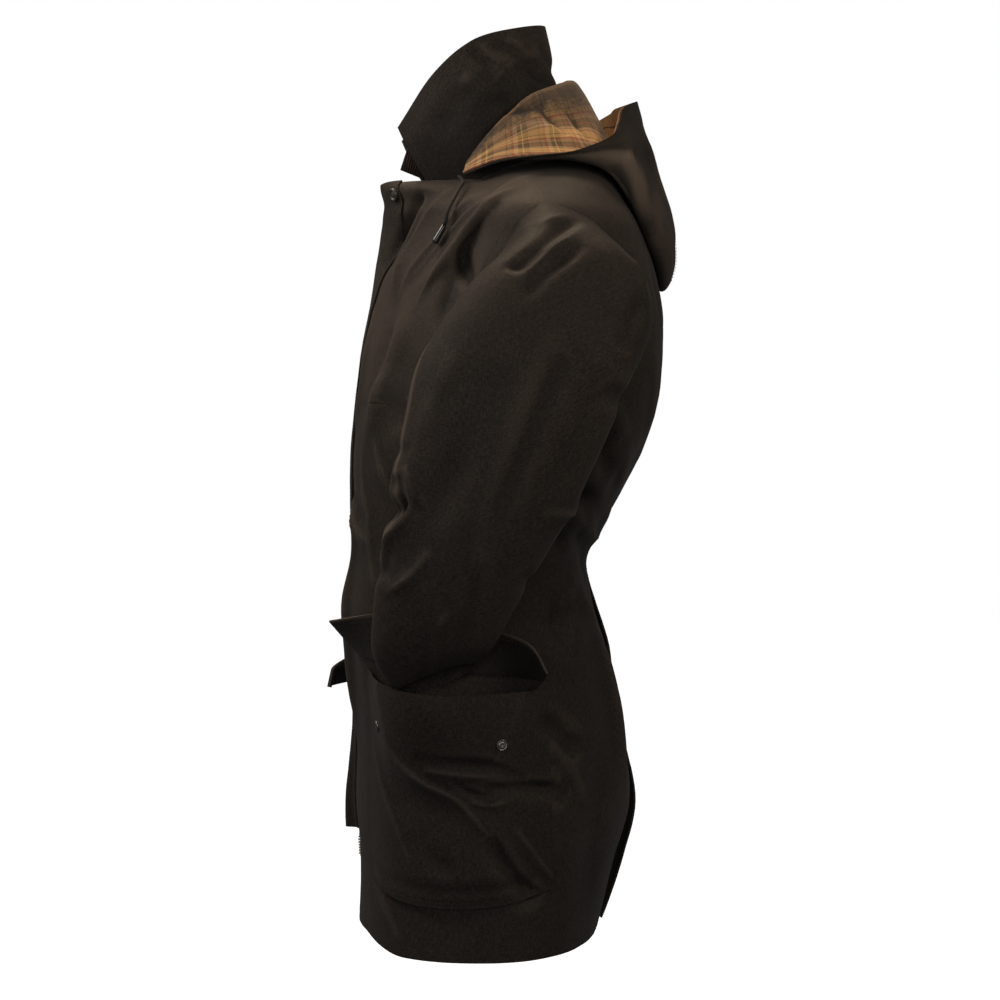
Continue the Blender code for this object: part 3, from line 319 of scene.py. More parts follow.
SLEEVE_SIDE = [
    Crease([(0.092, -0.078), (0.070, -0.088), (0.050, -0.106), (0.031, -0.123), (0.010, -0.140)],
           0.006, -0.0062, 0.7),
    Crease([(0.080, -0.074), (0.050, -0.084), (0.020, -0.094), (-0.004, -0.108)], 0.006, 0.0026),
    Crease([(0.084, -0.110), (0.070, -0.121), (0.052, -0.134), (0.037, -0.150), (0.024, -0.166)],
           0.006, -0.0056, 0.7),
    Crease([(0.080, -0.095), (0.058, -0.110), (0.040, -0.126), (0.022, -0.146)], 0.005, 0.0026),
    Crease([(0.030, -0.131), (0.016, -0.133), (0.000, -0.134)], 0.004, -0.0030),
    Crease([(0.106, -0.071), (0.125, -0.102), (0.139, -0.129), (0.149, -0.150)], 0.005, 0.0036),
    Crease([(0.1187, -0.099), (0.1326, -0.131), (0.1456, -0.168)], 0.005, 0.0040),
    Crease([(0.140, -0.150), (0.133, -0.180), (0.118, -0.215)], 0.009, -0.0040),
    Crease([(0.100, -0.100), (0.112, -0.135), (0.110, -0.180)], 0.010, 0.0020),
    Crease([(0.070, -0.170), (0.039, -0.231), (0.018, -0.292), (0.001, -0.360), (-0.015, -0.415),
            (-0.032, -0.480)], 0.016, 0.0042),
    Crease([(0.062, -0.221), (0.038, -0.272), (0.017, -0.322), (0.001, -0.366), (-0.014, -0.410)],
           0.011, -0.0046),
    Crease([(0.000, -0.226), (-0.032, -0.299), (-0.054, -0.347), (-0.081, -0.396), (-0.106, -0.440)],
           0.019, -0.0060),
    Crease([(-0.102, -0.335), (-0.100, -0.362), (-0.110, -0.390)], 0.007, -0.0100),
    Crease([(-0.091, -0.325), (-0.088, -0.365), (-0.108, -0.397), (-0.117, -0.432)], 0.004, 0.0044),
    Crease([(-0.067, -0.531), (-0.063, -0.492), (-0.050, -0.465)], 0.006, 0.0034),
    Crease([(-0.112, -0.450), (-0.090, -0.436), (-0.066, -0.408)], 0.007, 0.0034),
    Crease([(-0.020, -0.420), (-0.030, -0.470), (-0.050, -0.520)], 0.010, -0.0030),
    Crease([(0.100, -0.230), (0.078, -0.290), (0.048, -0.352), (0.024, -0.400)], 0.016, -0.0030),
    Crease([(-0.040, -0.215), (-0.064, -0.262), (-0.080, -0.310)], 0.010, 0.0024),
]
SLEEVE_FRONT = [
    Crease([(0.236, -0.296), (0.262, -0.310), (0.295, -0.312)], 0.009, -0.0040),
    Crease([(0.230, -0.352), (0.265, -0.370), (0.305, -0.362)], 0.011, -0.0110),
    Crease([(0.245, -0.420), (0.265, -0.430), (0.290, -0.424)], 0.008, -0.0040),
]
SLEEVE_BACK = [
    Crease([(0.232, -0.250), (0.262, -0.262), (0.290, -0.250)], 0.010, -0.0050),
    Crease([(0.240, -0.350), (0.270, -0.372), (0.300, -0.372)], 0.009, 0.0040),
    Crease([(0.245, -0.430), (0.268, -0.440), (0.290, -0.430)], 0.008, -0.0040),
]
HOOD_SIDE = [
    Crease([(0.129, 0.030), (0.134, -0.021), (0.149, -0.072)], 0.009, 0.0040),
    Crease([(0.116, -0.012), (0.126, -0.040), (0.136, -0.066)], 0.008, -0.0050),
    Crease([(0.152, 0.010), (0.158, -0.040), (0.160, -0.090)], 0.007, -0.0030),
]
LINING_SIDE = [
    Crease([(-0.015, 0.005), (0.0135, 0.018), (0.040, 0.024), (0.061, 0.020), (0.078, 0.008)],
           0.006, -0.0045),
    Crease([(0.040, 0.046), (0.056, 0.030), (0.070, 0.014)], 0.005, 0.0040),
    Crease([(0.066, 0.048), (0.082, 0.030), (0.096, 0.012)], 0.005, 0.0040),
    Crease([(0.000, 0.040), (0.026, 0.044), (0.050, 0.052)], 0.007, 0.0030),
]
HOOD_BACK = [
    Crease([(0.030, 0.040), (0.040, -0.020), (0.034, -0.090)], 0.010, 0.0040),
    Crease([(-0.030, 0.036), (-0.044, -0.030), (-0.036, -0.100)], 0.010, 0.0036),
    Crease([(0.006, 0.050), (0.000, -0.020), (0.004, -0.090)], 0.012, -0.0030),
]
COLLAR_SIDE = [
    Crease([(-0.014, 0.118), (0.016, 0.110), (0.037, 0.092), (0.054, 0.073)], 0.007, -0.0046),
    Crease([(0.004, 0.122), (0.026, 0.114), (0.044, 0.098)], 0.007, 0.0028),
    Crease([(0.006, 0.098), (0.031, 0.092), (0.046, 0.080)], 0.006, -0.0036),
    Crease([(-0.066, 0.020), (-0.050, 0.048), (-0.030, 0.070)], 0.014, -0.0024),
    Crease([(-0.034, 0.112), (-0.018, 0.100), (-0.004, 0.088)], 0.006, -0.0034),
    Crease([(-0.006, 0.074), (0.006, 0.088), (0.018, 0.102)], 0.006, 0.0034),
    Crease([(0.022, 0.118), (0.034, 0.108), (0.046, 0.094)], 0.005, -0.0034),
    Crease([(-0.004, 0.064), (0.006, 0.050), (0.010, 0.034)], 0.008, -0.0030),
    Crease([(-0.040, 0.084), (-0.020, 0.072), (-0.008, 0.054)], 0.010, 0.0026),
]
COLLAR_BACK = [
    Crease([(0.045, 0.120), (0.010, 0.100), (-0.035, 0.110)], 0.009, -0.0034),
    Crease([(0.040, 0.070), (0.000, 0.060), (-0.040, 0.072)], 0.010, 0.0026),
]


def similar(creases, shift, gain, turn_over=False):
    """The same kind of creases elsewhere: moved, made deeper or flatter, and turned over left to right."""
    way = -1 if turn_over else 1
    return [Crease([(way * (a + shift[0]), b + shift[1]) for a, b in crease.line],
                   crease.width, crease.height * gain, crease.steep) for crease in creases]


BODY_CREASES = {
    "left": CHEST_SIDE + WAIST_SIDE + SKIRT_SIDE,
    "right": (similar(CHEST_SIDE, (0.004, -0.010), 0.85) + similar(WAIST_SIDE, (-0.006, 0.012), 0.8)
              + similar(SKIRT_SIDE, (0.010, -0.008), 0.5)),
    "front": BODY_FRONT,
    "back": BODY_BACK,
}
SLEEVE_CREASES = {
    1: {"left": SLEEVE_SIDE, "front": SLEEVE_FRONT, "back": SLEEVE_BACK},
    -1: {"right": similar(SLEEVE_SIDE, (0.004, -0.014), 0.9),
         "front": similar(SLEEVE_FRONT, (0.008, -0.016), 0.9, True),
         "back": similar(SLEEVE_BACK, (0.008, 0.012), 0.9, True)},
}
HOOD_CREASES = {
    "left": HOOD_SIDE,
    "right": LINING_SIDE + similar(HOOD_SIDE, (-0.006, 0.008), 0.9),
    "back": HOOD_BACK,
}
COLLAR_CREASES = {
    "left": COLLAR_SIDE,
    "right": similar(COLLAR_SIDE, (0.002, -0.008), 0.8),
    "back": COLLAR_BACK,
}

# Each view's axis and the way along it that the viewer is
VIEWS = {"left": (0, 1), "right": (0, -1), "front": (1, -1), "back": (1, 1)}
FACING_FADE, CREASE_REACH = (0.12, 0.5), 4

# Narrow ridges are pinched. Every crease fades to its ends and is a little uneven along its line.
PINCH, PINCHED_WIDTH, RIDGE_GAIN = 0.12, 0.009, 1.3
FADE_POWER, UNEVEN, UNEVEN_RATE, UNEVEN_BY_WIDTH, UNEVEN_BY_LEVEL = 0.7, 0.22, 11, 300, 40

# Crumple: its size and height, and its noise's fall, steps between layers and number of layers
CRUMPLE_SIZE, CRUMPLE_HEIGHT = 0.045, 0.0005
CRUMPLE_FALL, CRUMPLE_STEPS, CRUMPLE_LAYERS = 0.8, 2.1, 3


def smooth(x, low, high):
    """0 below low, 1 above high, and an even S between."""
    f = np.clip((np.asarray(x, float) - low) / (high - low), 0, 1)
    return f * f * (3 - 2 * f)


def curve(x, knots, values):
    """A smooth curve through values at the knots, read at x. A value may be a row of sizes."""
    knots, values = np.asarray(knots, float), np.asarray(values, float)
    slopes = np.gradient(values, knots, axis=0)
    i = np.clip(np.searchsorted(knots, x) - 1, 0, len(knots) - 2)
    wide = knots[i + 1] - knots[i]
    f = (x - knots[i]) / wide
    if values.ndim > 1:
        f, wide = f[:, None], wide[:, None]
    return hermite(f, wide, values[i], values[i + 1], slopes[i], slopes[i + 1])


def hermite(f, wide, start, end, start_slope, end_slope):
    return (start * (2 * f**3 - 3 * f**2 + 1) + end * (3 * f**2 - 2 * f**3)
            + wide * (start_slope * (f**3 - 2 * f**2 + f) + end_slope * (f**3 - f**2)))


def through(t, rows):
    """A smooth curve through rows at even steps from 0 to 1, read at t."""
    return curve(t, np.linspace(0, 1, len(rows)), rows)


def loft(t, sections):
    """Points at t from 0 to 1 along the sections, where sections[k] holds each point's place on section k."""
    knots = np.linspace(0, 1, len(sections))
    slopes = np.gradient(sections, knots, axis=0)
    i = np.clip(np.searchsorted(knots, t) - 1, 0, len(knots) - 2)
    each = np.arange(len(t))
    f = ((t - knots[i]) / knots[1])[:, None]
    return hermite(f, knots[1], sections[i, each], sections[i + 1, each],
                   slopes[i, each], slopes[i + 1, each])


def unit(vectors):
    return vectors / np.maximum(np.linalg.norm(vectors, axis=1), TINY)[:, None]


def lengths(points):
    """Length along a line of points, up to each of them."""
    return np.concatenate([[0], np.cumsum(np.linalg.norm(np.diff(points, axis=0), axis=1))])


def normals(surface, s, t):
    """Unit normals of a surface at (s, t)."""
    along_s = surface(s + STEP, t) - surface(s - STEP, t)
    along_t = surface(s, t + STEP) - surface(s, t - STEP)
    return unit(np.cross(along_s, along_t))


def edge_angle(level, edges):
    """The angle of a panel's edge at a level: straight between the rows, held beyond the ends."""
    return np.interp(level, [edge.level for edge in edges], [edge.angle for edge in edges])


# Creases


def crease_height(places, crease):
    """Height of one crease at places of its flat view: highest along its line, and fading to both ends."""
    line = through(np.linspace(0, 1, 4 * len(crease.line)), crease.line)
    step = np.diff(line, axis=0)
    offset = places[:, None] - line[:-1]
    share = np.clip((offset * step).sum(2) / (step**2).sum(1), 0, 1)
    distance = np.linalg.norm(offset - share[..., None] * step, axis=2)
    nearest = distance.argmin(axis=1)
    each = np.arange(len(places))
    along = (nearest + share[each, nearest]) / len(step)
    aside = step[nearest, 0] * offset[each, nearest, 1] - step[nearest, 1] * offset[each, nearest, 0]
    width = np.where(aside < 0, crease.width / crease.steep, crease.width)
    fade = np.sin(math.pi * np.clip(along, 0, 1)) ** FADE_POWER
    phase = UNEVEN_BY_WIDTH * crease.width + UNEVEN_BY_LEVEL * crease.line[0][1]
    uneven = 1 + UNEVEN * np.sin(UNEVEN_RATE * along + phase)
    spread = (distance[each, nearest] / width) ** 2
    if crease.height < 0 or crease.width > PINCHED_WIDTH:
        profile = np.exp(-spread)
    else:
        profile = RIDGE_GAIN * np.exp(PINCH - np.sqrt(2 * spread + PINCH**2))
    return crease.height * fade * uneven * profile


def creasing(points, facing, drawn):
    """Height of all the creases drawn on the views, where the cloth faces each view."""
    height = np.zeros(len(points))
    for view, creases in drawn.items():
        axis, way = VIEWS[view]
        seen = smooth(way * facing[:, axis], *FACING_FADE)
        places = points[:, [1 - axis, 2]]
        for crease in creases:
            low = np.min(crease.line, axis=0) - CREASE_REACH * crease.width
            high = np.max(crease.line, axis=0) + CREASE_REACH * crease.width
            near = ((places > low) & (places < high)).all(axis=1) & (seen > 0)
            height[near] += seen[near] * crease_height(places[near], crease)
    return height


def crumple(points):
    """Small unevenness that all worn cloth has."""
    places = [Vector(point) / CRUMPLE_SIZE for point in points]
    return CRUMPLE_HEIGHT * np.array([noise.fractal(place, CRUMPLE_FALL, CRUMPLE_STEPS, CRUMPLE_LAYERS)
                                      for place in places])


def fold_height(p, q):
    """Height of the body's large folds at places of the cloth rolled out flat."""
    height = np.zeros_like(p)
    for fold in BODY_FOLDS:
        start = math.radians(fold.angle0) * FLAT_RADIUS, fold.level0
        end = math.radians(fold.angle1) * FLAT_RADIUS, fold.level1
        along_p, along_q = end[0] - start[0], end[1] - start[1]
        length = math.hypot(along_p, along_q)
        along = ((p - start[0]) * along_p + (q - start[1]) * along_q) / length**2
        aside = ((p - start[0]) * along_q - (q - start[1]) * along_p) / length
        ends = smooth(along, *FOLD_ENDS) * smooth(1 - along, *FOLD_ENDS)
        height += fold.height * np.exp(-(aside / fold.width) ** 2) * ends
    return height


# The body


def ring_sizes(level):
    return curve(level, RING_LEVELS, RING_SIZES).T


def body_radius(angle, level):
    """Distance of the cloth from the middle of its ring, and the ring's middle, in the direction of angle."""
    front, mid, back, half_width, front_power, back_power = ring_sizes(level)[:6]
    across, ahead = np.abs(np.sin(angle)), np.cos(angle)
    depth = np.where(ahead > 0, mid - front, back - mid)
    power = np.where(ahead > 0, front_power, back_power)
    plain = ((across / half_width) ** power + (np.abs(ahead) / depth) ** power) ** (-1 / power)
    return plain + fold_height(np.abs(angle) * FLAT_RADIUS, level), mid


def plain_body(degrees, level, flare=0.0):
    """The body before it is creased, at an angle from the centre front (left positive) and a level."""
    angle = np.radians(degrees)
    radius, mid = body_radius(angle, level)
    front_tilt, back_tilt = ring_sizes(level)[6:]
    radius = radius + flare
    start = np.interp(level, TILT_LEVELS, TILT_STARTS)
    rise = front_tilt * smooth(np.cos(angle) - start, 0, TILT_SPREAD)
    rise = rise + back_tilt * smooth(-np.cos(angle), 0, 1)
    return np.stack([radius * np.sin(angle), mid - radius * np.cos(angle), level + rise], axis=1)


def body(degrees, level, flare=0.0):
    """The creased body."""
    def plain(angle, height):
        return plain_body(angle, height, flare)
    points, facing = plain(degrees, level), normals(plain, degrees, level)
    return points + facing * (creasing(points, facing, BODY_CREASES) + crumple(points))[:, None]


def off_body(degrees, level, out):
    """Points a distance out from the body's cloth, square to it."""
    return body(degrees, level) + normals(plain_body, degrees, level) * np.reshape(out, (-1, 1))


def front_levels(t, bottom, top=NECK):
    """Levels from a bottom edge to the neck, closer together round the armhole and shoulder."""
    return np.interp(t, ROW_SHARES, [bottom, ARMPIT - ARMPIT_ROOM, SHOULDER_POINT, top])


def side_edge(level, edges):
    """Side seam below the armpit, armhole beside the sleeve, shoulder seam above it."""
    shoulder = curve(level, [SHOULDER_POINT, NECK], [SHOULDER_ANGLE, SHOULDER_SEAM])
    return np.where(level > SHOULDER_POINT, shoulder, edge_angle(level, edges))


def front_panel(side):
    def surface(s, t):
        level = front_levels(t, HEM)
        edge = edge_angle(level, FRONT_EDGE)
        angle = edge + s * (side_edge(level, ARMHOLE_FRONT) - edge)
        return body(side * angle, level)
    return surface


def vent_flare(side, angle, level):
    """How far the skirt stands back beside the centre vent, its right half further than its left."""
    below = smooth(VENT_TOP - level, *VENT_FADE)
    beside = smooth(angle, *VENT_ANGLES)
    waves = VENT_MEAN + VENT_SWING * np.cos((level - VENT_TOP) * math.tau / VENT_WAVE)
    return below * beside * VENT_FLARE * (waves if side < 0 else LEFT_VENT_SHARE)


def back_panel(side):
    def surface(s, t):
        level = front_levels(t, HEM)
        opening = VENT_OPENING * smooth(VENT_TOP - level, 0, VENT_WAVE / 2)
        centre = 180 - opening
        outer = side_edge(level, ARMHOLE_BACK)
        angle = outer + s * (centre - outer)
        return body(side * angle, level, vent_flare(side, angle, level))
    return surface


# Sleeves


def armhole_loop(side):
    """A side's armhole as on the left: 0 turns at the shoulder point, round the front, and up the back."""
    levels = np.linspace(SHOULDER_POINT, ARMPIT, ARMHOLE_STEPS)
    as_left = np.array([side, 1, 1])
    front = off_body(side * edge_angle(levels, ARMHOLE_FRONT), levels, LIFT) * as_left
    back = off_body(side * edge_angle(levels, ARMHOLE_BACK), levels, LIFT)[::-1] * as_left
    half_turns = []
    for path in (front, back):
        length = lengths(path)
        half_turns.append(length / length[-1] / 2)
    turns = np.concatenate([half_turns[0], 0.5 + half_turns[1][1:]])
    return turns, np.concatenate([front, back[1:]])


def sleeve_ring(section, turn, side):
    """A closed ring through a section's outer, front, inner and rear edges."""
    shift = section.right_shift if side < 0 else 0.0
    outer_x, inner_x = section.outer_x + shift, section.inner_x + shift
    middle_x, middle_y = (outer_x + inner_x) / 2, (section.front_y + section.rear_y) / 2
    outer = np.array([outer_x, middle_y, section.outer_z])
    inner = np.array([inner_x, middle_y, section.inner_z])
    front = np.array([middle_x, section.front_y, section.front_z])
    rear = np.array([middle_x, section.rear_y, section.rear_z])
    angle = (turn * math.tau)[:, None]
    return ((outer + inner + front + rear) / 4 + (outer - inner) / 2 * np.cos(angle)
            + (front - rear) / 2 * np.sin(angle) + (outer + inner - front - rear) / 4 * np.cos(2 * angle))


def clear_of_body(points, clearance):
    """Points moved out of the body, sideways, to a clearance from its cloth."""
    level = np.clip(points[:, 2], HEM, SHOULDER_POINT)
    mid = ring_sizes(level)[1]
    angle = np.arctan2(points[:, 0], mid - points[:, 1])
    least = body_radius(angle, level)[0] + clearance
    radius = np.hypot(points[:, 0], mid - points[:, 1])
    grow = np.maximum(radius, least)
    return np.stack([grow * np.sin(angle), mid - grow * np.cos(angle), points[:, 2]], axis=1)


def sleeve(side):
    turns, loop = armhole_loop(side)

    def plain(turn, t):
        cap = np.stack([np.interp(turn % 1, turns, loop[:, axis]) for axis in range(3)], axis=1)
        rings = np.stack([cap] + [sleeve_ring(section, turn, side) for section in SLEEVE])
        clearance = SLEEVE_CLEAR + (FLAP_CLEAR - SLEEVE_CLEAR) * smooth(t, *FLAP_ROWS)
        return clear_of_body(loft(t, rings), clearance * smooth(t, *CLEAR_ROWS)) * np.array([side, 1, 1])

    def surface(turn, t):
        points, facing = plain(turn, t), normals(plain, turn, t) * side
        height = creasing(points, facing, SLEEVE_CREASES[side]) + crumple(points)
        return points + facing * (height * smooth(t, *CAP_ROWS))[:, None]
    return surface


# Collar and hood


def creased(plain, drawn, flip=1):
    """A surface with creases and crumple on it."""
    def surface(s, t):
        points, facing = plain(s, t), normals(plain, s, t) * flip
        return points + facing * (creasing(points, facing, drawn) + crumple(points))[:, None]
    return surface


def plain_collar(s, t):
    """The collar from its left end (s 0) round the back, and from its foot (t 0) to its edge."""
    left = np.array(COLLAR)
    right = left[-2::-1].copy()
    right[:, [0, 3]] *= -1
    row = through(s, np.concatenate([left, right]))
    base, top, bow = row[:, :3] - np.array([0, 0, COLLAR_SINK]), row[:, 3:6], row[:, 6]
    outward = unit(base * np.array([1, 1, 0]))
    return base + (top - base) * t[:, None] + outward * (bow * np.sin(math.pi * t))[:, None]


def plain_hood(s, t):
    """The hood from the left front end (s 0) round the back, and from the neck seam (t 0) to the rim."""
    left = np.array(HOOD)
    right = left[-2::-1].copy()
    right[:, 0] = 360 - right[:, 0]
    right[:, RIM_Z] = right[:, RIGHT_RIM_Z]
    row = through(s, np.concatenate([left, right]))
    angle = np.radians(row[:, 0])
    points = [np.stack([row[:, k] * np.sin(angle), -row[:, k] * np.cos(angle), row[:, k + 1]], axis=1)
              for k in range(1, RIM_Z, 2)]
    return loft(t, np.stack(points))


collar = creased(plain_collar, COLLAR_CREASES)
hood = creased(plain_hood, HOOD_CREASES)


def hood_half(name):
    start = 0.0 if name == "left" else 0.5

    def surface(s, t):
        return hood(start + s * 0.5, t)
    return surface


# Pockets and flaps


def pocket_depth(name, s, t):
    """How far the pocket stands off the body: a belly that closes at its edges, and an open mouth."""
    near_mouth = smooth(t, *MOUTH_ROWS)
    spread = POCKET_EDGE[name] - MOUTH_SPREAD * near_mouth
    edges = smooth(s / spread, 0, 1) * smooth((1 - s) / spread, 0, 1)
    base = smooth(t, 0, POCKET_BASE_EDGE)
    swell = BELLY_MEAN + BELLY_SWELL * np.sin(math.pi * np.clip(t, 0, 1) ** BELLY_SHAPE)
    belly = POCKET_BELLY[name] * swell * (1 - BELLY_CLOSING * near_mouth)
    mouth = through(s, MOUTH_BULGE[name]) * smooth(t, *MOUTH_BULGE_ROWS)
    return edges * base * (belly + mouth)


def pocket(name, side):
    def surface(s, t):
        angle = POCKET_FRONT[name] + s * (POCKET_REAR - POCKET_FRONT[name])
        low, high = through(s, POCKET_BOTTOM), through(s, POCKET_MOUTH) - MOUTH_DROP[name]
        level = low + t * (high - low)
        outward = normals(plain_body, side * angle, level)
        sideways = unit(outward * np.array([1, POCKET_FORWARD[name], POCKET_UPWARD]))
        hem = POCKET_HEM * smooth(POCKET_HEM_TOP - t, 0, POCKET_HEM_FADE)
        hem = hem * smooth(s, *POCKET_HEM_FRONT) * smooth(1 - s, *POCKET_HEM_REAR)
        sewn = off_body(side * angle, level, LIFT + LAYER + hem)
        return sewn + sideways * pocket_depth(name, s, t)[:, None]
    return surface


def left_flap(s, t):
    """Pushed up from its seam (t 0) to its free edge."""
    rows = through(s, LEFT_FLAP)
    sewn = off_body(rows[:, 0], rows[:, 1], LIFT + CLOTH)
    points = sewn + (rows[:, 2:] - sewn) * t[:, None]
    return points + np.array([1, 0, 0]) * (crumple(points) * FLAP_CRUMPLE * t)[:, None]


def right_flap(s, t):
    """Hangs from above the mouth, over the pocket, its lower edge standing off."""
    angle = RIGHT_FLAP_ANGLES[0] + s * (RIGHT_FLAP_ANGLES[1] - RIGHT_FLAP_ANGLES[0])
    level = RIGHT_FLAP_TOP - t * RIGHT_FLAP_DROP
    ends = smooth(s, *RIGHT_FLAP_ENDS) * smooth(1 - s, *RIGHT_FLAP_ENDS)
    step = RIGHT_FLAP_STEP * smooth(t, *RIGHT_FLAP_STEP_ROWS)
    return off_body(-angle, level, LIFT + CLOTH + (step + RIGHT_FLAP_LEAN * t) * ends)


# Front closing, tab and cords


def storm_edge(level):
    overlap = np.interp(level, [FRONT_EDGE[0].level, NECK], [STORM_OVERLAP, STORM_OVERLAP_TOP])
    return edge_angle(level, FRONT_EDGE) - overlap


def storm_flap(s, t):
    level = front_levels(t, STORM_FLAP_BOTTOM)
    free = smooth(1 - s, *STORM_FREE)
    foot = STORM_FOOT * np.clip((STORM_FOOT_LEVEL - level) / (STORM_FOOT_LEVEL - STORM_FLAP_BOTTOM), 0, 1)
    out = LAYER + LIFT + free * (CLOTH / 2 + foot)
    return off_body(storm_edge(level) + s * STORM_FLAP_WIDTH, level, out)


def zip_tape(side):
    def surface(s, t):
        level = front_levels(t, ZIP_BOTTOM, ZIP_TOP)
        near = edge_angle(level, FRONT_EDGE) - ZIP_EDGE
        depth = np.interp(level, ZIP_LEVELS, ZIP_DEPTHS)
        return off_body(side * (near + s * ZIP_TAPE_ANGLE), level, depth)
    return surface


def throat_tab(s, t):
    low = np.array(TAB_CORNERS["rear_low"]), np.array(TAB_CORNERS["front_low"])
    high = np.array(TAB_CORNERS["rear_high"]), np.array(TAB_CORNERS["front_high"])
    s, t = s[:, None], t[:, None]
    flat = (low[0] * (1 - s) + low[1] * s) * (1 - t) + (high[0] * (1 - s) + high[1] * s) * t
    return flat + np.array([TAB_BOW, 0, 0]) * np.sin(math.pi * s) * np.sin(math.pi * t)


# Making pieces

# A place counts as a ridge by how far it stands above the cloth a few grid steps away
RIDGE_REACH, RIDGE_HEIGHT = 3, 0.0012
STITCH_PITCH, STITCH_SIZE, PATH_STEPS = 0.0034, (0.0013, 0.0004, 0.0003), 60


def settle(name, bm, finish, nodes=()):
    """A piece from its mesh: painted, riding on the jacket, and shown instead of the solids given."""
    mesh = bpy.data.meshes.new(name)
    bm.to_mesh(mesh)
    bm.free()
    mesh.shade_smooth()
    mesh.materials.append(finish)
    piece = bpy.data.objects.new(name, mesh)
    bpy.context.scene.collection.objects.link(piece)
    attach(piece, "root")
    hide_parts(*nodes)
    return piece


def ridges(grid, facing):
    """How far each place of a grid of cloth stands out from the cloth around it, from -1 to 1."""
    reach = RIDGE_REACH
    padded = np.pad(grid, ((reach, reach), (reach, reach), (0, 0)), mode="edge")
    middle = slice(reach, -reach)
    around = (padded[2 * reach:, middle] + padded[:-2 * reach, middle]
              + padded[middle, 2 * reach:] + padded[middle, :-2 * reach]) / 4
    out = ((grid - around) * facing.reshape(grid.shape)).sum(axis=2)
    return np.clip(out.ravel() / RIDGE_HEIGHT, -1, 1)


def grid_normals(grid):
    """Unit normals of a grid of points."""
    return unit(np.cross(np.gradient(grid, axis=1), np.gradient(grid, axis=0)).reshape(-1, 3))


def run_of(grid, axis):
    """Length of cloth along a grid's rows or columns, measured from their middle."""
    steps = np.linalg.norm(np.diff(grid, axis=axis, prepend=np.take(grid, [0], axis=axis)), axis=2)
    length = np.cumsum(steps, axis=axis)
    return length - np.take(length, [length.shape[axis] // 2], axis=axis)


# A sheet laid flat: its sizes, its area and how it is held
Cut = namedtuple("Cut", "width length area held")


def cloth(name, surface, columns, rows, finish, slot, cut, out=0.0, thickness=CLOTH, flip=1, closed=False,
          shade_and_wear=None, squared=False):
    """A sheet of cloth: its seen face on the surface moved out, and its thickness behind that.

    Closed cloth is joined where its two sides meet.
    The function given for shade and wear, of (s, t), darkens the cloth, and lightens it where it is below 0;
    it holds mostly painted shade and painted light, with some rubbed wear. Squared cloth has its check in
    even steps from edge to edge, and other cloth has its weave by true lengths.
    """
    bm = bmesh.new()
    bm.loops.layers.uv.new("cut")
    bmesh.ops.create_grid(bm, x_segments=columns, y_segments=rows, size=0.5, calc_uvs=True)

    def row_by_row(vertex):
        return round((vertex.co.y + 0.5) * rows) * (columns + 1) + vertex.co.x * columns
    bm.verts.sort(key=row_by_row)
    s, t = np.array([vertex.co[:2] for vertex in bm.verts]).T + 0.5
    points = surface(s, t)
    shape = (rows + 1, columns + 1, 3)
    facing = grid_normals(points.reshape(shape)) * flip
    points = points + facing * np.reshape(out(s, t) if callable(out) else out, (-1, 1))
    grid = points.reshape(shape)
    # Painted shade and light: ridges lighter and troughs darker, partly rubbed wear and partly painted shade
    # in the creases, then darker by each piece's painted shade and lighter by its painted light and rubbing
    rubbed_and_shaded = ridges(grid, facing) - (shade_and_wear(s, t) if shade_and_wear else 0)
    ridge = bm.verts.layers.float.new("ridge")
    for vertex, point, height in zip(bm.verts, points, rubbed_and_shaded):
        vertex.co = point
        vertex[ridge] = height
    if closed:
        bmesh.ops.remove_doubles(bm, verts=bm.verts, dist=MERGE)
    if flip < 0:
        bmesh.ops.reverse_faces(bm, faces=bm.faces)
    for edge in bm.edges:
        edge.smooth = not edge.is_boundary
    piece = settle(f"{name}_cloth", bm, finish, [name])
    uv = piece.data.uv_layers["cut"].data
    places = np.zeros(len(uv) * 2, np.float32)
    uv.foreach_get("uv", places)
    places = places.reshape(-1, 2)
    if squared:
        laid = places * (cut.width, cut.length)
    else:
        column, row = np.rint(places * (columns, rows)).astype(int).T
        laid = np.stack([run_of(grid, 1)[row, column], run_of(grid, 0)[row, column]], axis=1)
    uv.foreach_set("uv", laid.ravel().astype(np.float32))
    wall = piece.modifiers.new("thickness", "SOLIDIFY")
    wall.thickness = thickness
    wall.offset = -1


def along_row(surface, path, pitch, flip):
    """Places at an even pitch along a path of (s, t) on a surface, with the way along and the way out."""
    knots = np.linspace(0, 1, len(path))
    steps = np.linspace(0, 1, PATH_STEPS * len(path))
    places = np.stack([np.interp(steps, knots, column) for column in np.array(path, float).T], axis=1)
    line = surface(*places.T)
    length = lengths(line)
    spots = np.arange(pitch / 2, length[-1], pitch)
    s, t = (np.interp(spots, length, places[:, axis]) for axis in range(2))
    points = np.stack([np.interp(spots, length, line[:, axis]) for axis in range(3)], axis=1)
    along = unit(np.gradient(points, axis=0))
    facing = normals(surface, s, t) * flip
    return points, along, unit(facing - along * (facing * along).sum(axis=1)[:, None])


def seat(point, along, facing, size):
    """A matrix that lays a unit shape on cloth: its length along the row, its height out of the cloth."""
    aside = np.cross(facing, along)
    turn = Matrix(np.stack([along * size[0], aside * size[1], facing * size[2]], axis=1).tolist()).to_4x4()
    return Matrix.Translation(Vector(point)) @ turn


def sew(name, surface, paths, finish, flip=1, out=0.0):
    """Rows of stitches lying on a surface."""
    bm = bmesh.new()
    for path in paths:
        points, along, facing = along_row(surface, path, STITCH_PITCH, flip)
        for point, ahead, outward in zip(points + facing * out, along, facing):
            lay = seat(point, ahead, outward, STITCH_SIZE)
            bmesh.ops.create_icosphere(bm, subdivisions=1, radius=1, matrix=lay)
    settle(f"{name}_stitching", bm, finish)


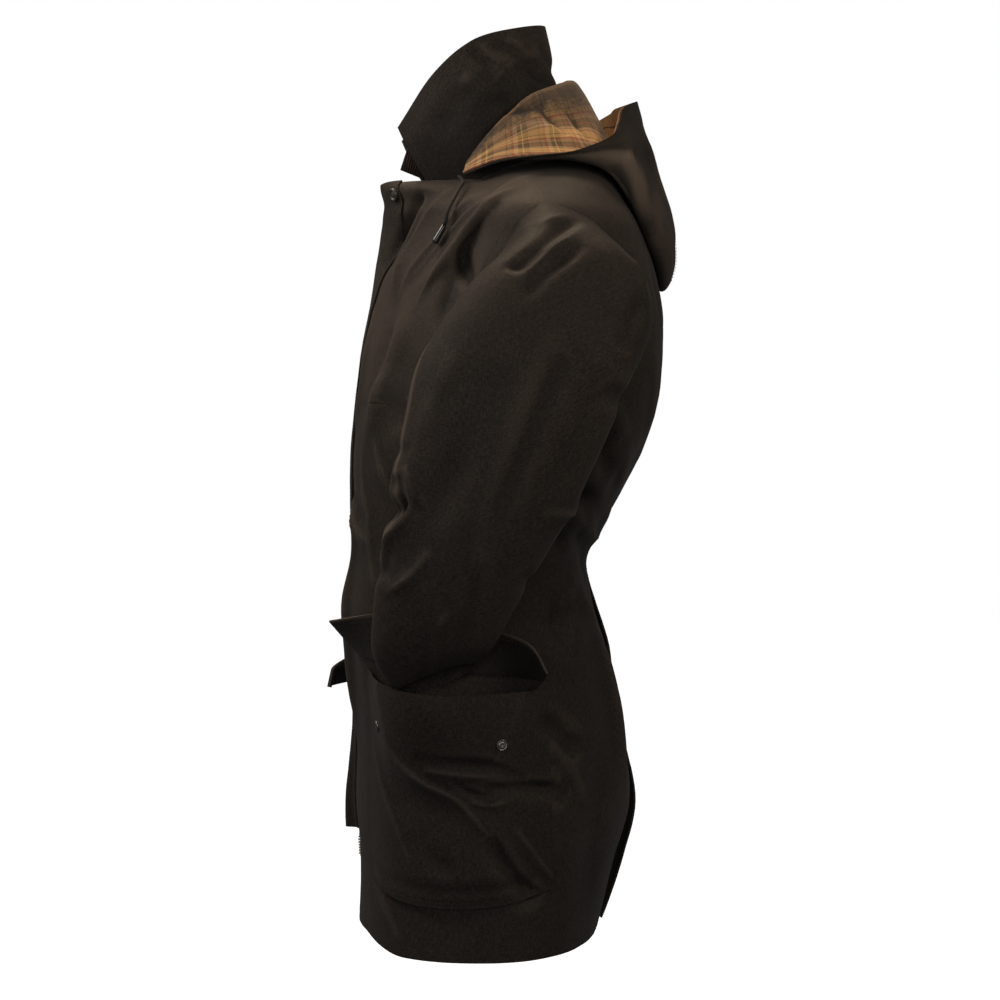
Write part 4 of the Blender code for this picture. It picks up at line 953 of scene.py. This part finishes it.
def turned(name, profile, point, facing, finish, nodes, steps=32):
    """A round fastening: a profile of (radius, height) points turned about its axis and set on the cloth."""
    bm = bmesh.new()
    corners = [bm.verts.new((radius, 0, height)) for radius, height in profile]
    edges = [bm.edges.new(pair) for pair in zip(corners, corners[1:])]
    bmesh.ops.spin(bm, geom=corners + edges, axis=(0, 0, 1), cent=(0, 0, 0), steps=steps, angle=math.tau,
                   use_merge=True)
    bmesh.ops.remove_doubles(bm, verts=bm.verts, dist=MERGE)
    bmesh.ops.recalc_face_normals(bm, faces=bm.faces)
    turn = Vector(facing).to_track_quat("Z", "Y").to_matrix().to_4x4()
    bmesh.ops.transform(bm, matrix=Matrix.Translation(Vector(point)) @ turn, verts=bm.verts)
    settle(name, bm, finish, nodes)


def on_cloth(surface, s, t, flip=1):
    """A place on a surface and the way it faces."""
    s, t = np.array([s]), np.array([t])
    return surface(s, t)[0], normals(surface, s, t)[0] * flip


def on_front(places, out):
    """Points beside the left front panel, at (angle, level) places."""
    angles, levels = np.array(places).T
    return off_body(angles, levels, out)


def tube(points, radii, sides=12):
    """A round tube through the points with closed ends, and its own map of (round, along) for a pattern."""
    forward = unit(np.gradient(points, axis=0))
    across = unit(np.cross(forward, (0, 0, 1)))
    upward = np.cross(across, forward)
    length = lengths(points)
    bm = bmesh.new()
    uv = bm.loops.layers.uv.new("cut")
    bmesh.ops.create_grid(bm, x_segments=sides, y_segments=len(points) - 1, size=0.5, calc_uvs=True)
    for face in bm.faces:
        for corner in face.loops:
            row = round(corner[uv].uv.y * (len(points) - 1))
            corner[uv].uv = (corner[uv].uv.x, length[row])
    for vertex in bm.verts:
        row = round((vertex.co.y + 0.5) * (len(points) - 1))
        angle = (vertex.co.x + 0.5) * math.tau
        ring = across[row] * math.cos(angle) + upward[row] * math.sin(angle)
        vertex.co = points[row] + ring * radii[row]
    bmesh.ops.remove_doubles(bm, verts=bm.verts, dist=MERGE)
    bmesh.ops.holes_fill(bm, edges=bm.edges)
    bmesh.ops.recalc_face_normals(bm, faces=bm.faces)
    return bm


# Finishes


class Wire:
    """A shader socket that takes Python's operators, each of which adds a Math node."""

    def __init__(self, tree, socket=None):
        self.tree = tree
        self.socket = socket

    def node(self, kind, sockets=None, output=0, **settings):
        """Any node: its settings, then the values or links of its sockets. Gives the wire of an output."""
        made = self.tree.nodes.new(kind)
        for name, value in settings.items():
            if name == "stops":
                fill_ramp(made.color_ramp, value)
            else:
                setattr(made, name, value)
        for key, value in (sockets or {}).items():
            if isinstance(value, Wire):
                self.tree.links.new(value.socket, made.inputs[key])
            else:
                made.inputs[key].default_value = value
        return Wire(self.tree, made.outputs[output])

    def math(self, operation, *values):
        return self.node("ShaderNodeMath", dict(enumerate(values)), operation=operation)

    def __add__(self, other):
        return self.math("ADD", self, other)

    __radd__ = __add__

    def __sub__(self, other):
        return self.math("SUBTRACT", self, other)

    def __rsub__(self, other):
        return self.math("SUBTRACT", other, self)

    def __mul__(self, other):
        return self.math("MULTIPLY", self, other)

    __rmul__ = __mul__

    def __truediv__(self, other):
        return self.math("DIVIDE", self, other)


def fill_ramp(ramp, stops):
    """A ramp's stops, as (place, colour) pairs, with no blending between them."""
    ramp.interpolation = "CONSTANT"
    while len(ramp.elements) < len(stops):
        ramp.elements.new(1.0)
    for element, (place, colour) in zip(ramp.elements, stops):
        element.position = place
        element.color = (*colour, 1)


class Finish:
    """A material in the making: its shader, and the wires that its pattern starts from."""

    def __init__(self, name, **constants):
        self.material = bpy.data.materials.new(name)
        self.material.use_nodes = True
        self.tree = self.material.node_tree
        self.shader = self.tree.nodes["Principled BSDF"]
        self.wire = Wire(self.tree)
        for socket, value in constants.items():
            self.shader.inputs[socket.replace("_", " ")].default_value = value

    def place(self):
        return self.wire.node("ShaderNodeTexCoord", output="Object")

    def cut(self):
        """The two ways along the cut of the cloth, in metres."""
        parts = self.wire.node("ShaderNodeUVMap", uv_map="cut")
        return [self.wire.node("ShaderNodeSeparateXYZ", {0: parts}, output=axis) for axis in range(2)]

    # The cloth's painted shade and painted light, with its rubbed wear, as stored on its mesh
    def ridge(self):
        return self.wire.node("ShaderNodeAttribute", output="Fac", attribute_name="ridge")

    def speckle(self, size, detail=3.0, roughness=0.6):
        """Noise from 0 to 1 with patches of about a size."""
        sockets = {"Vector": self.place(), "Scale": 1 / size, "Detail": detail, "Roughness": roughness}
        return self.wire.node("ShaderNodeTexNoise", sockets)

    def slubs(self, across, along, width, length):
        """Noise from 0 to 1 drawn out along the yarns."""
        place = self.wire.node("ShaderNodeCombineXYZ", {0: across / width, 1: along / length})
        return self.wire.node("ShaderNodeTexNoise", {"Vector": place, "Scale": 1.0, "Detail": 2.0})

    def blend(self, share, first, second):
        sockets = {0: share, 6: colour_of(first), 7: colour_of(second)}
        return self.wire.node("ShaderNodeMix", sockets, output=2, data_type="RGBA")

    def ramp(self, share, stops):
        return self.wire.node("ShaderNodeValToRGB", {0: share}, stops=stops)

    def bump(self, height, strength, distance):
        """The cloth's relief, from a height of 0 to 1."""
        sockets = {"Height": height, "Strength": strength, "Distance": distance}
        return self.wire.node("ShaderNodeBump", sockets)

    def feed(self, **sockets):
        for socket, wire in sockets.items():
            self.tree.links.new(wire.socket, self.shader.inputs[socket.replace("_", " ")])
        return self.material


def colour_of(value):
    return value if isinstance(value, Wire) else (*value, 1)


def wave(across, pitch):
    """A wave from 0 to 1 along a wire, once a pitch."""
    return across.math("SINE", across * (math.tau / pitch)) * 0.5 + 0.5


def clamp(value):
    return value.node("ShaderNodeClamp", {0: value})


# Colours, from dark to light, and the sizes of weaves
# The darkest wax colour takes painted shade as well as grain, and the lightest takes painted light as well as
# rubbed wear
WAX_DARK, WAX_BROWN, WAX_WORN_AND_LIT = (0.0135, 0.0108, 0.0090), (0.034, 0.0268, 0.0218), (0.095, 0.073, 0.057)
WEAVE_PITCH, SLUB_WIDTH, WARP_SLUB, WEFT_SLUB = 0.0011, 0.0015, 0.006, 0.005
CORD_RIB, CORD_RIB_DARK, CORD_RIB_LIGHT = 0.0026, (0.012, 0.007, 0.005), (0.060, 0.036, 0.026)
TAPE_DARK, TAPE_LIGHT, TAPE_ZIGZAG, TAPE_ROW = (0.010, 0.008, 0.006), (0.034, 0.026, 0.020), 0.002, 0.0013
STUD_DULL, STUD_BRIGHT = (0.05, 0.045, 0.04), (0.34, 0.31, 0.28)
BRASS_DULL, BRASS_BRIGHT = (0.28, 0.17, 0.06), (0.62, 0.43, 0.17)
BRAID_DARK, BRAID_LIGHT, STRANDS, WINDINGS = (0.004, 0.0037, 0.0034), (0.016, 0.0145, 0.013), 4, 260


def wax_cotton():
    """Waxed cotton: a close slubbed weave, rubbed lighter on its ridges, with painted shade in its troughs
    and each piece's painted light and shade, and a dull sheen.
    """
    paint = Finish("wax_cotton", Specular_IOR_Level=0.08, Sheen_Weight=0.03, Sheen_Roughness=0.5)
    warp, weft = paint.cut()
    weave = wave(warp, WEAVE_PITCH) * wave(weft, WEAVE_PITCH)
    warp_slubs = paint.slubs(warp, weft, SLUB_WIDTH, WARP_SLUB)
    weft_slubs = paint.slubs(weft, warp, SLUB_WIDTH, WEFT_SLUB)
    slubs = warp_slubs * 0.5 + weft_slubs * 0.5
    clouds, mottle = paint.speckle(0.15, 3), paint.speckle(0.012, 4, 0.6)
    ridge = paint.ridge()
    # Rubbed wear and painted light lighten the cloth; painted shade in its troughs and from each piece
    # darkens it
    worn_and_lit = clamp(ridge * 0.22 + (slubs - 0.5) * 0.35)
    uneven = 0.50 + (clouds - 0.5) * 0.1 + (mottle - 0.5) * 0.12
    shade = clamp(uneven + (slubs - 0.5) * 3.2 + ridge * 0.12)
    cloth_colour = paint.blend(shade, WAX_DARK, WAX_BROWN)
    colour = paint.blend(worn_and_lit, cloth_colour, WAX_WORN_AND_LIT)
    roughness = 0.62 - clouds * 0.14 + worn_and_lit * 0.15
    relief = weave * 0.35 + slubs * 1.4 + mottle * 0.5
    return paint.feed(Base_Color=colour, Roughness=roughness, Normal=paint.bump(relief, 0.4, 0.0008))


LINING_TAN, LINING_OLIVE, LINING_DARK = (0.36, 0.205, 0.098), (0.120, 0.085, 0.042), (0.045, 0.034, 0.024)
LINING_YELLOW, LINING_RED, LINING_CREAM = (0.66, 0.385, 0.140), (0.33, 0.080, 0.050), (0.46, 0.300, 0.160)
CHECK_PITCH = 0.038
WARP_STRIPES = [
    (0.00, LINING_TAN), (0.16, LINING_DARK), (0.18, LINING_TAN), (0.30, LINING_RED), (0.37, LINING_CREAM),
    (0.50, LINING_OLIVE), (0.62, LINING_YELLOW), (0.66, LINING_OLIVE), (0.80, LINING_DARK),
    (0.82, LINING_TAN),
]
WEFT_STRIPES = [
    (0.00, LINING_YELLOW), (0.20, LINING_DARK), (0.22, LINING_YELLOW), (0.36, LINING_RED), (0.44, LINING_TAN),
    (0.58, LINING_OLIVE), (0.72, LINING_RED), (0.75, LINING_OLIVE), (0.88, LINING_CREAM), (0.94, LINING_TAN),
]


def check_lining():
    """Soft woven check: stripes of the warp and of the weft, crossing in a fine twill."""
    paint = Finish("check_lining", Specular_IOR_Level=0.2, Sheen_Weight=0.1)
    warp, weft = paint.cut()
    twill = wave(warp + weft, 0.0016)
    crossing = 0.42 + twill * 0.36
    warp_bands = paint.ramp(warp.math("FRACT", warp / CHECK_PITCH), WARP_STRIPES)
    weft_bands = paint.ramp(weft.math("FRACT", weft / CHECK_PITCH), WEFT_STRIPES)
    bands = paint.blend(crossing, warp_bands, weft_bands)
    fuzz = paint.speckle(0.004, 4)
    # Dingy fuzz, with painted shade in the lining's troughs and round the neck
    dingy_and_shaded = clamp((fuzz - 0.42) * 0.7 - paint.ridge() * 0.25)
    colour = paint.blend(dingy_and_shaded, bands, LINING_DARK)
    relief = twill * 0.6 + fuzz
    return paint.feed(Base_Color=colour, Roughness=0.82 + fuzz * 0.12, Normal=paint.bump(relief, 0.3, 0.0006))


def corduroy():
    """Ribbed cotton cord, darker between its ribs."""
    paint = Finish("corduroy", Specular_IOR_Level=0.2, Sheen_Weight=0.25)
    warp, weft = paint.cut()
    ribs = wave(warp, CORD_RIB)
    nap = paint.speckle(0.003, 4)
    colour = paint.blend(clamp(ribs * 0.8 + (nap - 0.5) * 0.5), CORD_RIB_DARK, CORD_RIB_LIGHT)
    relief = ribs + nap * 0.3 + wave(weft, 0.0012) * 0.1
    return paint.feed(Base_Color=colour, Roughness=0.8 + nap * 0.15, Normal=paint.bump(relief, 0.6, 0.0010))


def zip_tape_finish():
    """Woven tape in a herringbone."""
    paint = Finish("zip_tape", Specular_IOR_Level=0.25)
    warp, weft = paint.cut()
    slant = weft + warp.math("PINGPONG", warp, TAPE_ZIGZAG)
    rows = wave(slant, TAPE_ROW)
    dust = paint.speckle(0.006, 4)
    colour = paint.blend(clamp(rows * 0.6 + dust * 0.3), TAPE_DARK, TAPE_LIGHT)
    return paint.feed(Base_Color=colour, Roughness=0.75 + dust * 0.15, Normal=paint.bump(rows, 0.4, 0.0005))


def metal(name, bright, dull, roughness, tarnish_size):
    """Cast metal, tarnished in patches and rubbed bright in others."""
    paint = Finish(name, Metallic=1.0)
    tarnish, scratches = paint.speckle(tarnish_size, 5), paint.speckle(tarnish_size / 6, 3)
    colour = paint.blend(clamp(tarnish * 1.6 - 0.3), bright, dull)
    return paint.feed(Base_Color=colour, Roughness=roughness + tarnish * 0.2 + scratches * 0.08,
                      Normal=paint.bump(scratches, 0.12, 0.0003))


def mottled(paint, patches, colours, smoothest, spread, relief):
    """A finish that goes from its first colour to its second, and from smooth to rough, in patches."""
    colour = paint.blend(patches, *colours)
    return paint.feed(Base_Color=colour, Roughness=smoothest + patches * spread,
                      Normal=paint.bump(patches, *relief))


def horn_button():
    """Dark pressed button with faint clouding."""
    paint = Finish("horn_button", Specular_IOR_Level=0.5)
    colours = (0.022, 0.018, 0.015), (0.085, 0.068, 0.056)
    return mottled(paint, paint.speckle(0.004, 4), colours, 0.32, 0.2, (0.1, 0.0003))


def cord_cotton():
    """Black braided cord: two sets of strands winding opposite ways."""
    paint = Finish("cord_cotton", Specular_IOR_Level=0.35)
    around, along = paint.cut()
    winding = along * WINDINGS
    left_hand = wave(around * STRANDS + winding, 1.0)
    right_hand = wave(around * STRANDS - winding, 1.0)
    strands = left_hand.math("MAXIMUM", left_hand, right_hand)
    colour = paint.blend(strands, BRAID_DARK, BRAID_LIGHT)
    relief = paint.bump(strands, 0.7, 0.0006)
    return paint.feed(Base_Color=colour, Roughness=0.55 + strands * 0.2, Normal=relief)


def cord_plastic():
    """Gloss black moulding with fine rubbing."""
    paint = Finish("cord_plastic", Specular_IOR_Level=0.6, Coat_Weight=0.3)
    colours = (0.008, 0.008, 0.009), (0.022, 0.022, 0.024)
    return mottled(paint, paint.speckle(0.002, 4), colours, 0.14, 0.16, (0.06, 0.0002))


def thread():
    """Twisted sewing thread."""
    paint = Finish("thread", Specular_IOR_Level=0.35)
    colours = (0.020, 0.014, 0.010), (0.040, 0.029, 0.021)
    return mottled(paint, paint.speckle(0.0009, 2), colours, 0.5, 0.2, (0.3, 0.0003))


# Painted shade and painted light of each cloth at its (s, t), with some rubbed wear: above 0 it is darker,
# and below 0 it is lighter

# Strengths of painted shade: round the neck, in hollows, at the waist, on the sleeve's cap and at the hood
# rim's hem
NECK_SHADE, HOLLOW_SHADE, WAIST_SHADE, CAP_SHADE, RIM_HEM_SHADE = 3.6, 5.0, 2.8, 1.2, 2.0
# Strengths of painted light on the chest, the hood's fold and the flap's edge, and of rubbing at the front
# edge, the vent and the sleeve's fold
CHEST_LIGHT, EDGE_RUB, VENT_RUB, SLEEVE_RUB, HOOD_FOLD_LIGHT, FLAP_EDGE_LIGHT = 0.9, 2.2, 2.4, 3.4, 4.2, 2.4


def streak(x, middle, width):
    return np.exp(-((x - middle) / width) ** 2)


def front_wear_and_shading(s, t):
    """Painted light on the chest, rubbed beside the skirt's front edge, and painted shade at the waist under
    the sleeve.
    """
    waist = smooth(s, 0.80, 0.92) * streak(t, 0.28, 0.08)
    chest = smooth(t, 0.40, 0.62)
    edge = streak(s, 0.15, 0.02) * smooth(0.42 - t, 0, 0.08)
    return WAIST_SHADE * waist - CHEST_LIGHT * chest - EDGE_RUB * edge


def back_wear_and_shade(s, t):
    """Rubbed in a streak beside the vent, and painted shade at the waist behind the sleeve."""
    waist = smooth(0.45 - s, 0, 0.25) * streak(t, 0.32, 0.10)
    vent = streak(s, 0.80, 0.05) * smooth(0.40 - t, 0, 0.08)
    return WAIST_SHADE * waist - VENT_RUB * vent


def sleeve_wear_and_shade(turn, t):
    """Painted shade on the sleeve's cap, and rubbed off along its front fold."""
    cap = smooth(0.30 - t, 0, 0.15)
    fold = streak(turn, 0.205, 0.009) * smooth(t, 0.10, 0.18) * smooth(0.66 - t, 0, 0.10)
    return CAP_SHADE * cap - SLEEVE_RUB * fold


def collar_shade(s, t):
    """Painted shade below the collar's upper edge."""
    return NECK_SHADE * smooth(0.80 - t, 0, 0.30)


def neck_shade(s, t):
    """Painted shade on the lining where it lies round the neck."""
    return NECK_SHADE * smooth(0.42 - t, 0, 0.15)


def hood_light_and_shade(side):
    """Painted shade at the rim's hem, and painted light on the fold below it."""
    def light_and_shade(s, t):
        from_front = s if side > 0 else 1 - s
        fold = streak(from_front, 0.60, 0.15) * smooth(t, 0.52, 0.72) * smooth(1 - t, 0.05, 0.14)
        return RIM_HEM_SHADE * smooth(t, 0.90, 0.95) - HOOD_FOLD_LIGHT * fold
    return light_and_shade


def flap_light_and_shade(s, t):
    """Painted shade in the hollow under the raised flap's rear end, and a painted highlight along its edge.
    """
    hollow = smooth(s, 0.45, 0.55) * smooth(1 - t, 0.06, 0.14)
    return HOLLOW_SHADE * hollow - FLAP_EDGE_LIGHT * smooth(t, 0.94, 0.97)


def foot_shade(s, t):
    """Painted shade on the storm flap's foot, which hangs in its own shade."""
    return HOLLOW_SHADE * smooth(0.34 - t, 0, 0.12) * smooth(1 - s, 0.15, 0.5)


# The pieces of the jacket

FRONT_CUT = Cut(0.42, 0.83, 0.26, "hung")
BACK_CUT = Cut(0.27, 0.85, 0.178, "hung")
SLEEVE_CUT = Cut(0.47, 0.52, 0.178, "hung")
COLLAR_CUT = Cut(0.34, 0.15, 0.05, "hung")
TAB_CUT = Cut(0.042, 0.042, 0.0015, "hung")
HOOD_CUT = Cut(0.26, 0.28, 0.06, "folded")
POCKET_CUT = Cut(0.26, 0.24, 0.056, "hung")
LEFT_FLAP_CUT = Cut(0.26, 0.06, 0.011, "folded")
RIGHT_FLAP_CUT = Cut(0.28, 0.09, 0.0235, "hung")
STORM_CUT = Cut(0.049, 0.71, 0.033, "hung")
TAPE_CUT = Cut(0.017, 0.73, 0.011, "hung")
SIDES = (("left", 1), ("right", -1))
# Rows of stitching that panels share, and how much coarser the right side's grids are
ARMHOLE_ROWS, HEM_ROW = (0.41, 0.855), 0.0076
RIGHT_SHARE = 0.6


def grid_steps(side, columns, rows):
    share = 1 if side > 0 else RIGHT_SHARE
    return round(columns * share), round(rows * share)


def seam(s, rows=ARMHOLE_ROWS):
    """A row of stitching along a panel's length."""
    return [(s, rows[0]), (s, rows[1])]


def make_body(wax, sewing):
    for name, side in SIDES:
        hem = [(0.0, HEM_ROW), (1.0, HEM_ROW)]
        front, back = front_panel(side), back_panel(side)
        cloth(f"{name}_front", front, *grid_steps(side, 140, 280), wax, "wax_cotton", FRONT_CUT,
              flip=side, shade_and_wear=front_wear_and_shading)
        sew(f"{name}_front", front, [hem, seam(0.985), seam(0.955), seam(0.985, (0.87, 0.99))], sewing, side)
        cloth(f"back_{name}", back, *grid_steps(side, 80, 250), wax, "wax_cotton", BACK_CUT,
              flip=side, shade_and_wear=back_wear_and_shade)
        sew(f"back_{name}", back,
            [hem, seam(0.02), seam(0.06), seam(0.985, (0.28, 0.99)), seam(0.95, (0.0, 0.28))], sewing, side)


def make_sleeves(wax, sewing):
    for name, side in SIDES:
        arm = sleeve(side)
        cloth(f"{name}_sleeve", arm, *grid_steps(side, 180, 200), wax, "wax_cotton", SLEEVE_CUT,
              flip=side, closed=True, shade_and_wear=sleeve_wear_and_shade)
        sew(f"{name}_sleeve", arm, [[(0.0, 0.965), (1.0, 0.965)], seam(0.5, (0.05, 0.95))], sewing, side)


def make_collar(wax, cord_cloth, sewing):
    cloth("collar", collar, 150, 60, wax, "wax_cotton", COLLAR_CUT, thickness=LAYER, shade_and_wear=collar_shade)
    cloth("collar_facing", collar, 150, 60, cord_cloth, "corduroy", COLLAR_CUT, out=LAYER * 2 + SEAM,
          thickness=LAYER, flip=-1)
    cloth("throat_tab", throat_tab, 24, 24, cord_cloth, "corduroy", TAB_CUT)
    sew("collar", collar, [
        [(0.018, 0.04), (0.018, 0.93), (0.982, 0.93), (0.982, 0.04)],
        [(0.018, 0.06), (0.982, 0.06)],
    ], sewing)
    sew("throat_tab", throat_tab, [[(0.08, 0.08), (0.92, 0.08), (0.92, 0.92), (0.08, 0.92)]], sewing)


def make_hood(wax, check, sewing):
    for name, side in SIDES:
        half = hood_half(name)
        centre = 0.97 if side > 0 else 0.03
        cloth(f"hood_{name}", half, 80, 110, wax, "wax_cotton", HOOD_CUT, out=hood_hem,
              thickness=LAYER, shade_and_wear=hood_light_and_shade(side))
        cloth(f"hood_lining_{name}", half, 70, 90, check, "check_lining", HOOD_CUT, out=LAYER + SEAM,
              thickness=LAYER, flip=-1, shade_and_wear=neck_shade, squared=True)
        sew(f"hood_{name}", half, [[(0.02, 0.955), (0.98, 0.955)], seam(centre, (0.55, 0.95))], sewing,
            out=LAYER + RIM_ROLL / 2)


def hood_hem(s, t):
    """The shell stands off the lining, further where the hem of its rim is turned in over the cord."""
    return LAYER + RIM_ROLL * smooth(t, *RIM_ROWS)


def make_pockets(wax, sewing, stud_finish):
    for name, side in SIDES:
        patch = pocket(name, side)
        cloth(f"{name}_pocket", patch, *grid_steps(side, 130, 130), wax, "wax_cotton", POCKET_CUT,
              thickness=LAYER, flip=side)
        edges = [(0.02, 0.98), (0.02, 0.025), (0.98, 0.025), (0.98, 0.98)]
        sew(f"{name}_pocket", patch, [edges, seam(0.90, (0.98, 0.83))], sewing, side)
        for where, s, t in STUDS:
            place, facing = on_cloth(patch, s, t, side)
            turned(f"{name}_{where}_stud", STUD_PROFILE, place, facing, stud_finish,
                   [f"stud_{name}_{where}"])
    cloth("left_flap", left_flap, 90, 30, wax, "wax_cotton", LEFT_FLAP_CUT, shade_and_wear=flap_light_and_shade)
    cloth("right_flap", right_flap, 70, 30, wax, "wax_cotton", RIGHT_FLAP_CUT)
    sew("left_flap", left_flap, [[(0.03, 0.05), (0.03, 0.86), (0.97, 0.86), (0.97, 0.05)]], sewing)
    sew("right_flap", right_flap, [[(0.03, 0.05), (0.03, 0.90), (0.97, 0.90), (0.97, 0.05)]], sewing)


def make_closing(wax, tape, brass, horn, sewing):
    cloth("storm_flap", storm_flap, 20, 220, wax, "wax_cotton", STORM_CUT, thickness=STORM_THICKNESS,
          shade_and_wear=foot_shade)
    edges = [(0.10, 0.99), (0.10, 0.012), (0.90, 0.012), (0.90, 0.99)]
    sew("storm_flap", storm_flap, [edges, seam(0.80, (0.02, 0.99))], sewing)
    for name, side in SIDES:
        ribbon = zip_tape(side)
        cloth(f"zip_{name}", ribbon, 6, 160, tape, "zip_tape", TAPE_CUT, thickness=LAYER, flip=side)
        bm = bmesh.new()
        points, along, facing = along_row(ribbon, seam(0.04, (0.0, 1.0)), TOOTH_PITCH, side)
        for point, ahead, outward in zip(points + facing * TOOTH_LIFT, along, facing):
            bmesh.ops.create_cube(bm, size=1, matrix=seat(point, ahead, outward, TOOTH_SIZE))
        settle(f"{name}_zip_teeth", bm, brass, [f"teeth_{name}"])
    steps = np.linspace(0, 1, BUTTON_STEPS)
    t = np.interp(BUTTON_LEVEL, front_levels(steps, STORM_FLAP_BOTTOM), steps)
    edge = storm_edge(np.array([BUTTON_LEVEL]))[0]
    s = (edge_angle(BUTTON_LEVEL, FRONT_EDGE) + BUTTON_ANGLE - edge) / STORM_FLAP_WIDTH
    place, facing = on_cloth(storm_flap, s, t)
    turned("top_button", BUTTON_PROFILE, place, facing, horn, ["button"])


def make_cords(cord_finish, plastic):
    laid = np.vstack([CORD_EXIT, on_front(CORD_ROUTE, CORD_STANDOFF)])
    points = through(np.linspace(0, 1, CORD_STEPS), laid)
    start, end = on_front(CORD_END_ROUTE, CORD_STANDOFF)
    shares, radii = np.array(CORD_END_PROFILE).T
    end_points = start + (end - start) * shares[:, None]
    points = np.vstack([points, start + (end - start) * CORD_SEATED])
    for name, side in SIDES:
        turn = np.array([side, 1, 1])
        bm = tube(points * turn, np.full(len(points), CORD_RADIUS))
        free = settle(f"{name}_cord", bm, cord_finish, [f"hood_cord_{name}"])
        tip = settle(f"{name}_cord_tip", tube(end_points * turn, radii, 24), plastic,
                     [f"cord_end_{name}"])
        (points * turn).tolist()


# Camera, light and floor

CAMERA_PLACE, CAMERA_LENS, SENSOR = (2.75, 0.0, -0.36), 92.05, 36.0
FLOOR_LEVEL, FLOOR_SIZE = -1.45, 40.0
ROOM_LIGHT, BACKDROP = 0.10, 1.0
WHITE, PAPER = (1, 1, 1, 1), (0.9, 0.9, 0.9, 1)
Light = namedtuple("Light", "name place toward size power colour")
LIGHTS = [
    Light("overhead", (-0.8, -0.3, 2.2), (0.05, 0, -0.2), 1.2, 48, (1.0, 0.76, 0.52)),
    Light("rear", (0.75, 0.8, 0.35), (0.08, 0.12, -0.05), 0.4, 4.2, (1.0, 0.86, 0.70)),
    Light("front", (0.3, -1.1, 0.7), (0.05, 0, -0.2), 0.8, 13.5, (1.0, 0.90, 0.80)),
    Light("side", (3.2, -0.2, 0.0), (0.1, 0, -0.5), 2.0, 18, (1.0, 1.0, 1.0)),
]


def make_camera():
    data = bpy.data.cameras.new("camera")
    data.lens = CAMERA_LENS
    data.sensor_width = SENSOR
    camera = bpy.data.objects.new("camera", data)
    camera.location = CAMERA_PLACE
    camera.rotation_euler = (math.pi / 2, 0, math.pi / 2)
    bpy.context.scene.collection.objects.link(camera)
    bpy.context.scene.camera = camera


def make_light(light):
    data = bpy.data.lights.new(light.name, "AREA")
    data.shape = "DISK"
    data.size = light.size
    data.energy = light.power
    data.color = light.colour
    lamp = bpy.data.objects.new(light.name, data)
    lamp.location = light.place
    lamp.rotation_euler = (Vector(light.toward) - Vector(light.place)).to_track_quat("-Z", "Y").to_euler()
    bpy.context.scene.collection.objects.link(lamp)


def make_room():
    """A dim even room that is plain white to the camera."""
    world = bpy.data.worlds.new("studio")
    world.use_nodes = True
    wire = Wire(world.node_tree)
    seen = wire.node("ShaderNodeLightPath", output="Is Camera Ray")
    room = wire.node("ShaderNodeBackground", {"Color": WHITE, "Strength": ROOM_LIGHT})
    backdrop = wire.node("ShaderNodeBackground", {"Color": WHITE, "Strength": BACKDROP})
    mixed = wire.node("ShaderNodeMixShader", {0: seen, 1: room, 2: backdrop})
    world.node_tree.links.new(mixed.socket, world.node_tree.nodes["World Output"].inputs["Surface"])
    bpy.context.scene.world = world
    bpy.context.scene.view_settings.view_transform = "Standard"


def make_floor():
    """White paper far below the hem."""
    paper = Finish("floor", Base_Color=PAPER, Roughness=0.9, Emission_Color=WHITE, Emission_Strength=1.0)
    bm = bmesh.new()
    bmesh.ops.create_grid(bm, x_segments=1, y_segments=1, size=FLOOR_SIZE / 2,
                          matrix=Matrix.Translation((0, 0, FLOOR_LEVEL)))
    mesh = bpy.data.meshes.new("floor")
    bm.to_mesh(mesh)
    bm.free()
    mesh.materials.append(paper.material)
    floor = bpy.data.objects.new("floor", mesh)
    floor.visible_diffuse = False
    floor.visible_glossy = False
    bpy.context.scene.collection.objects.link(floor)


make_camera()
for light in LIGHTS:
    make_light(light)
make_room()
make_floor()
wax, sewing = wax_cotton(), thread()
ribbed = corduroy()
make_cords(cord_cotton(), cord_plastic())
make_body(wax, sewing)
make_sleeves(wax, sewing)
make_collar(wax, ribbed, sewing)
make_hood(wax, check_lining(), sewing)
make_pockets(wax, sewing, metal("stud_metal", STUD_BRIGHT, STUD_DULL, 0.28, 0.004))
brass = metal("zip_brass", BRASS_BRIGHT, BRASS_DULL, 0.30, 0.006)
make_closing(wax, zip_tape_finish(), brass, horn_button(), sewing)
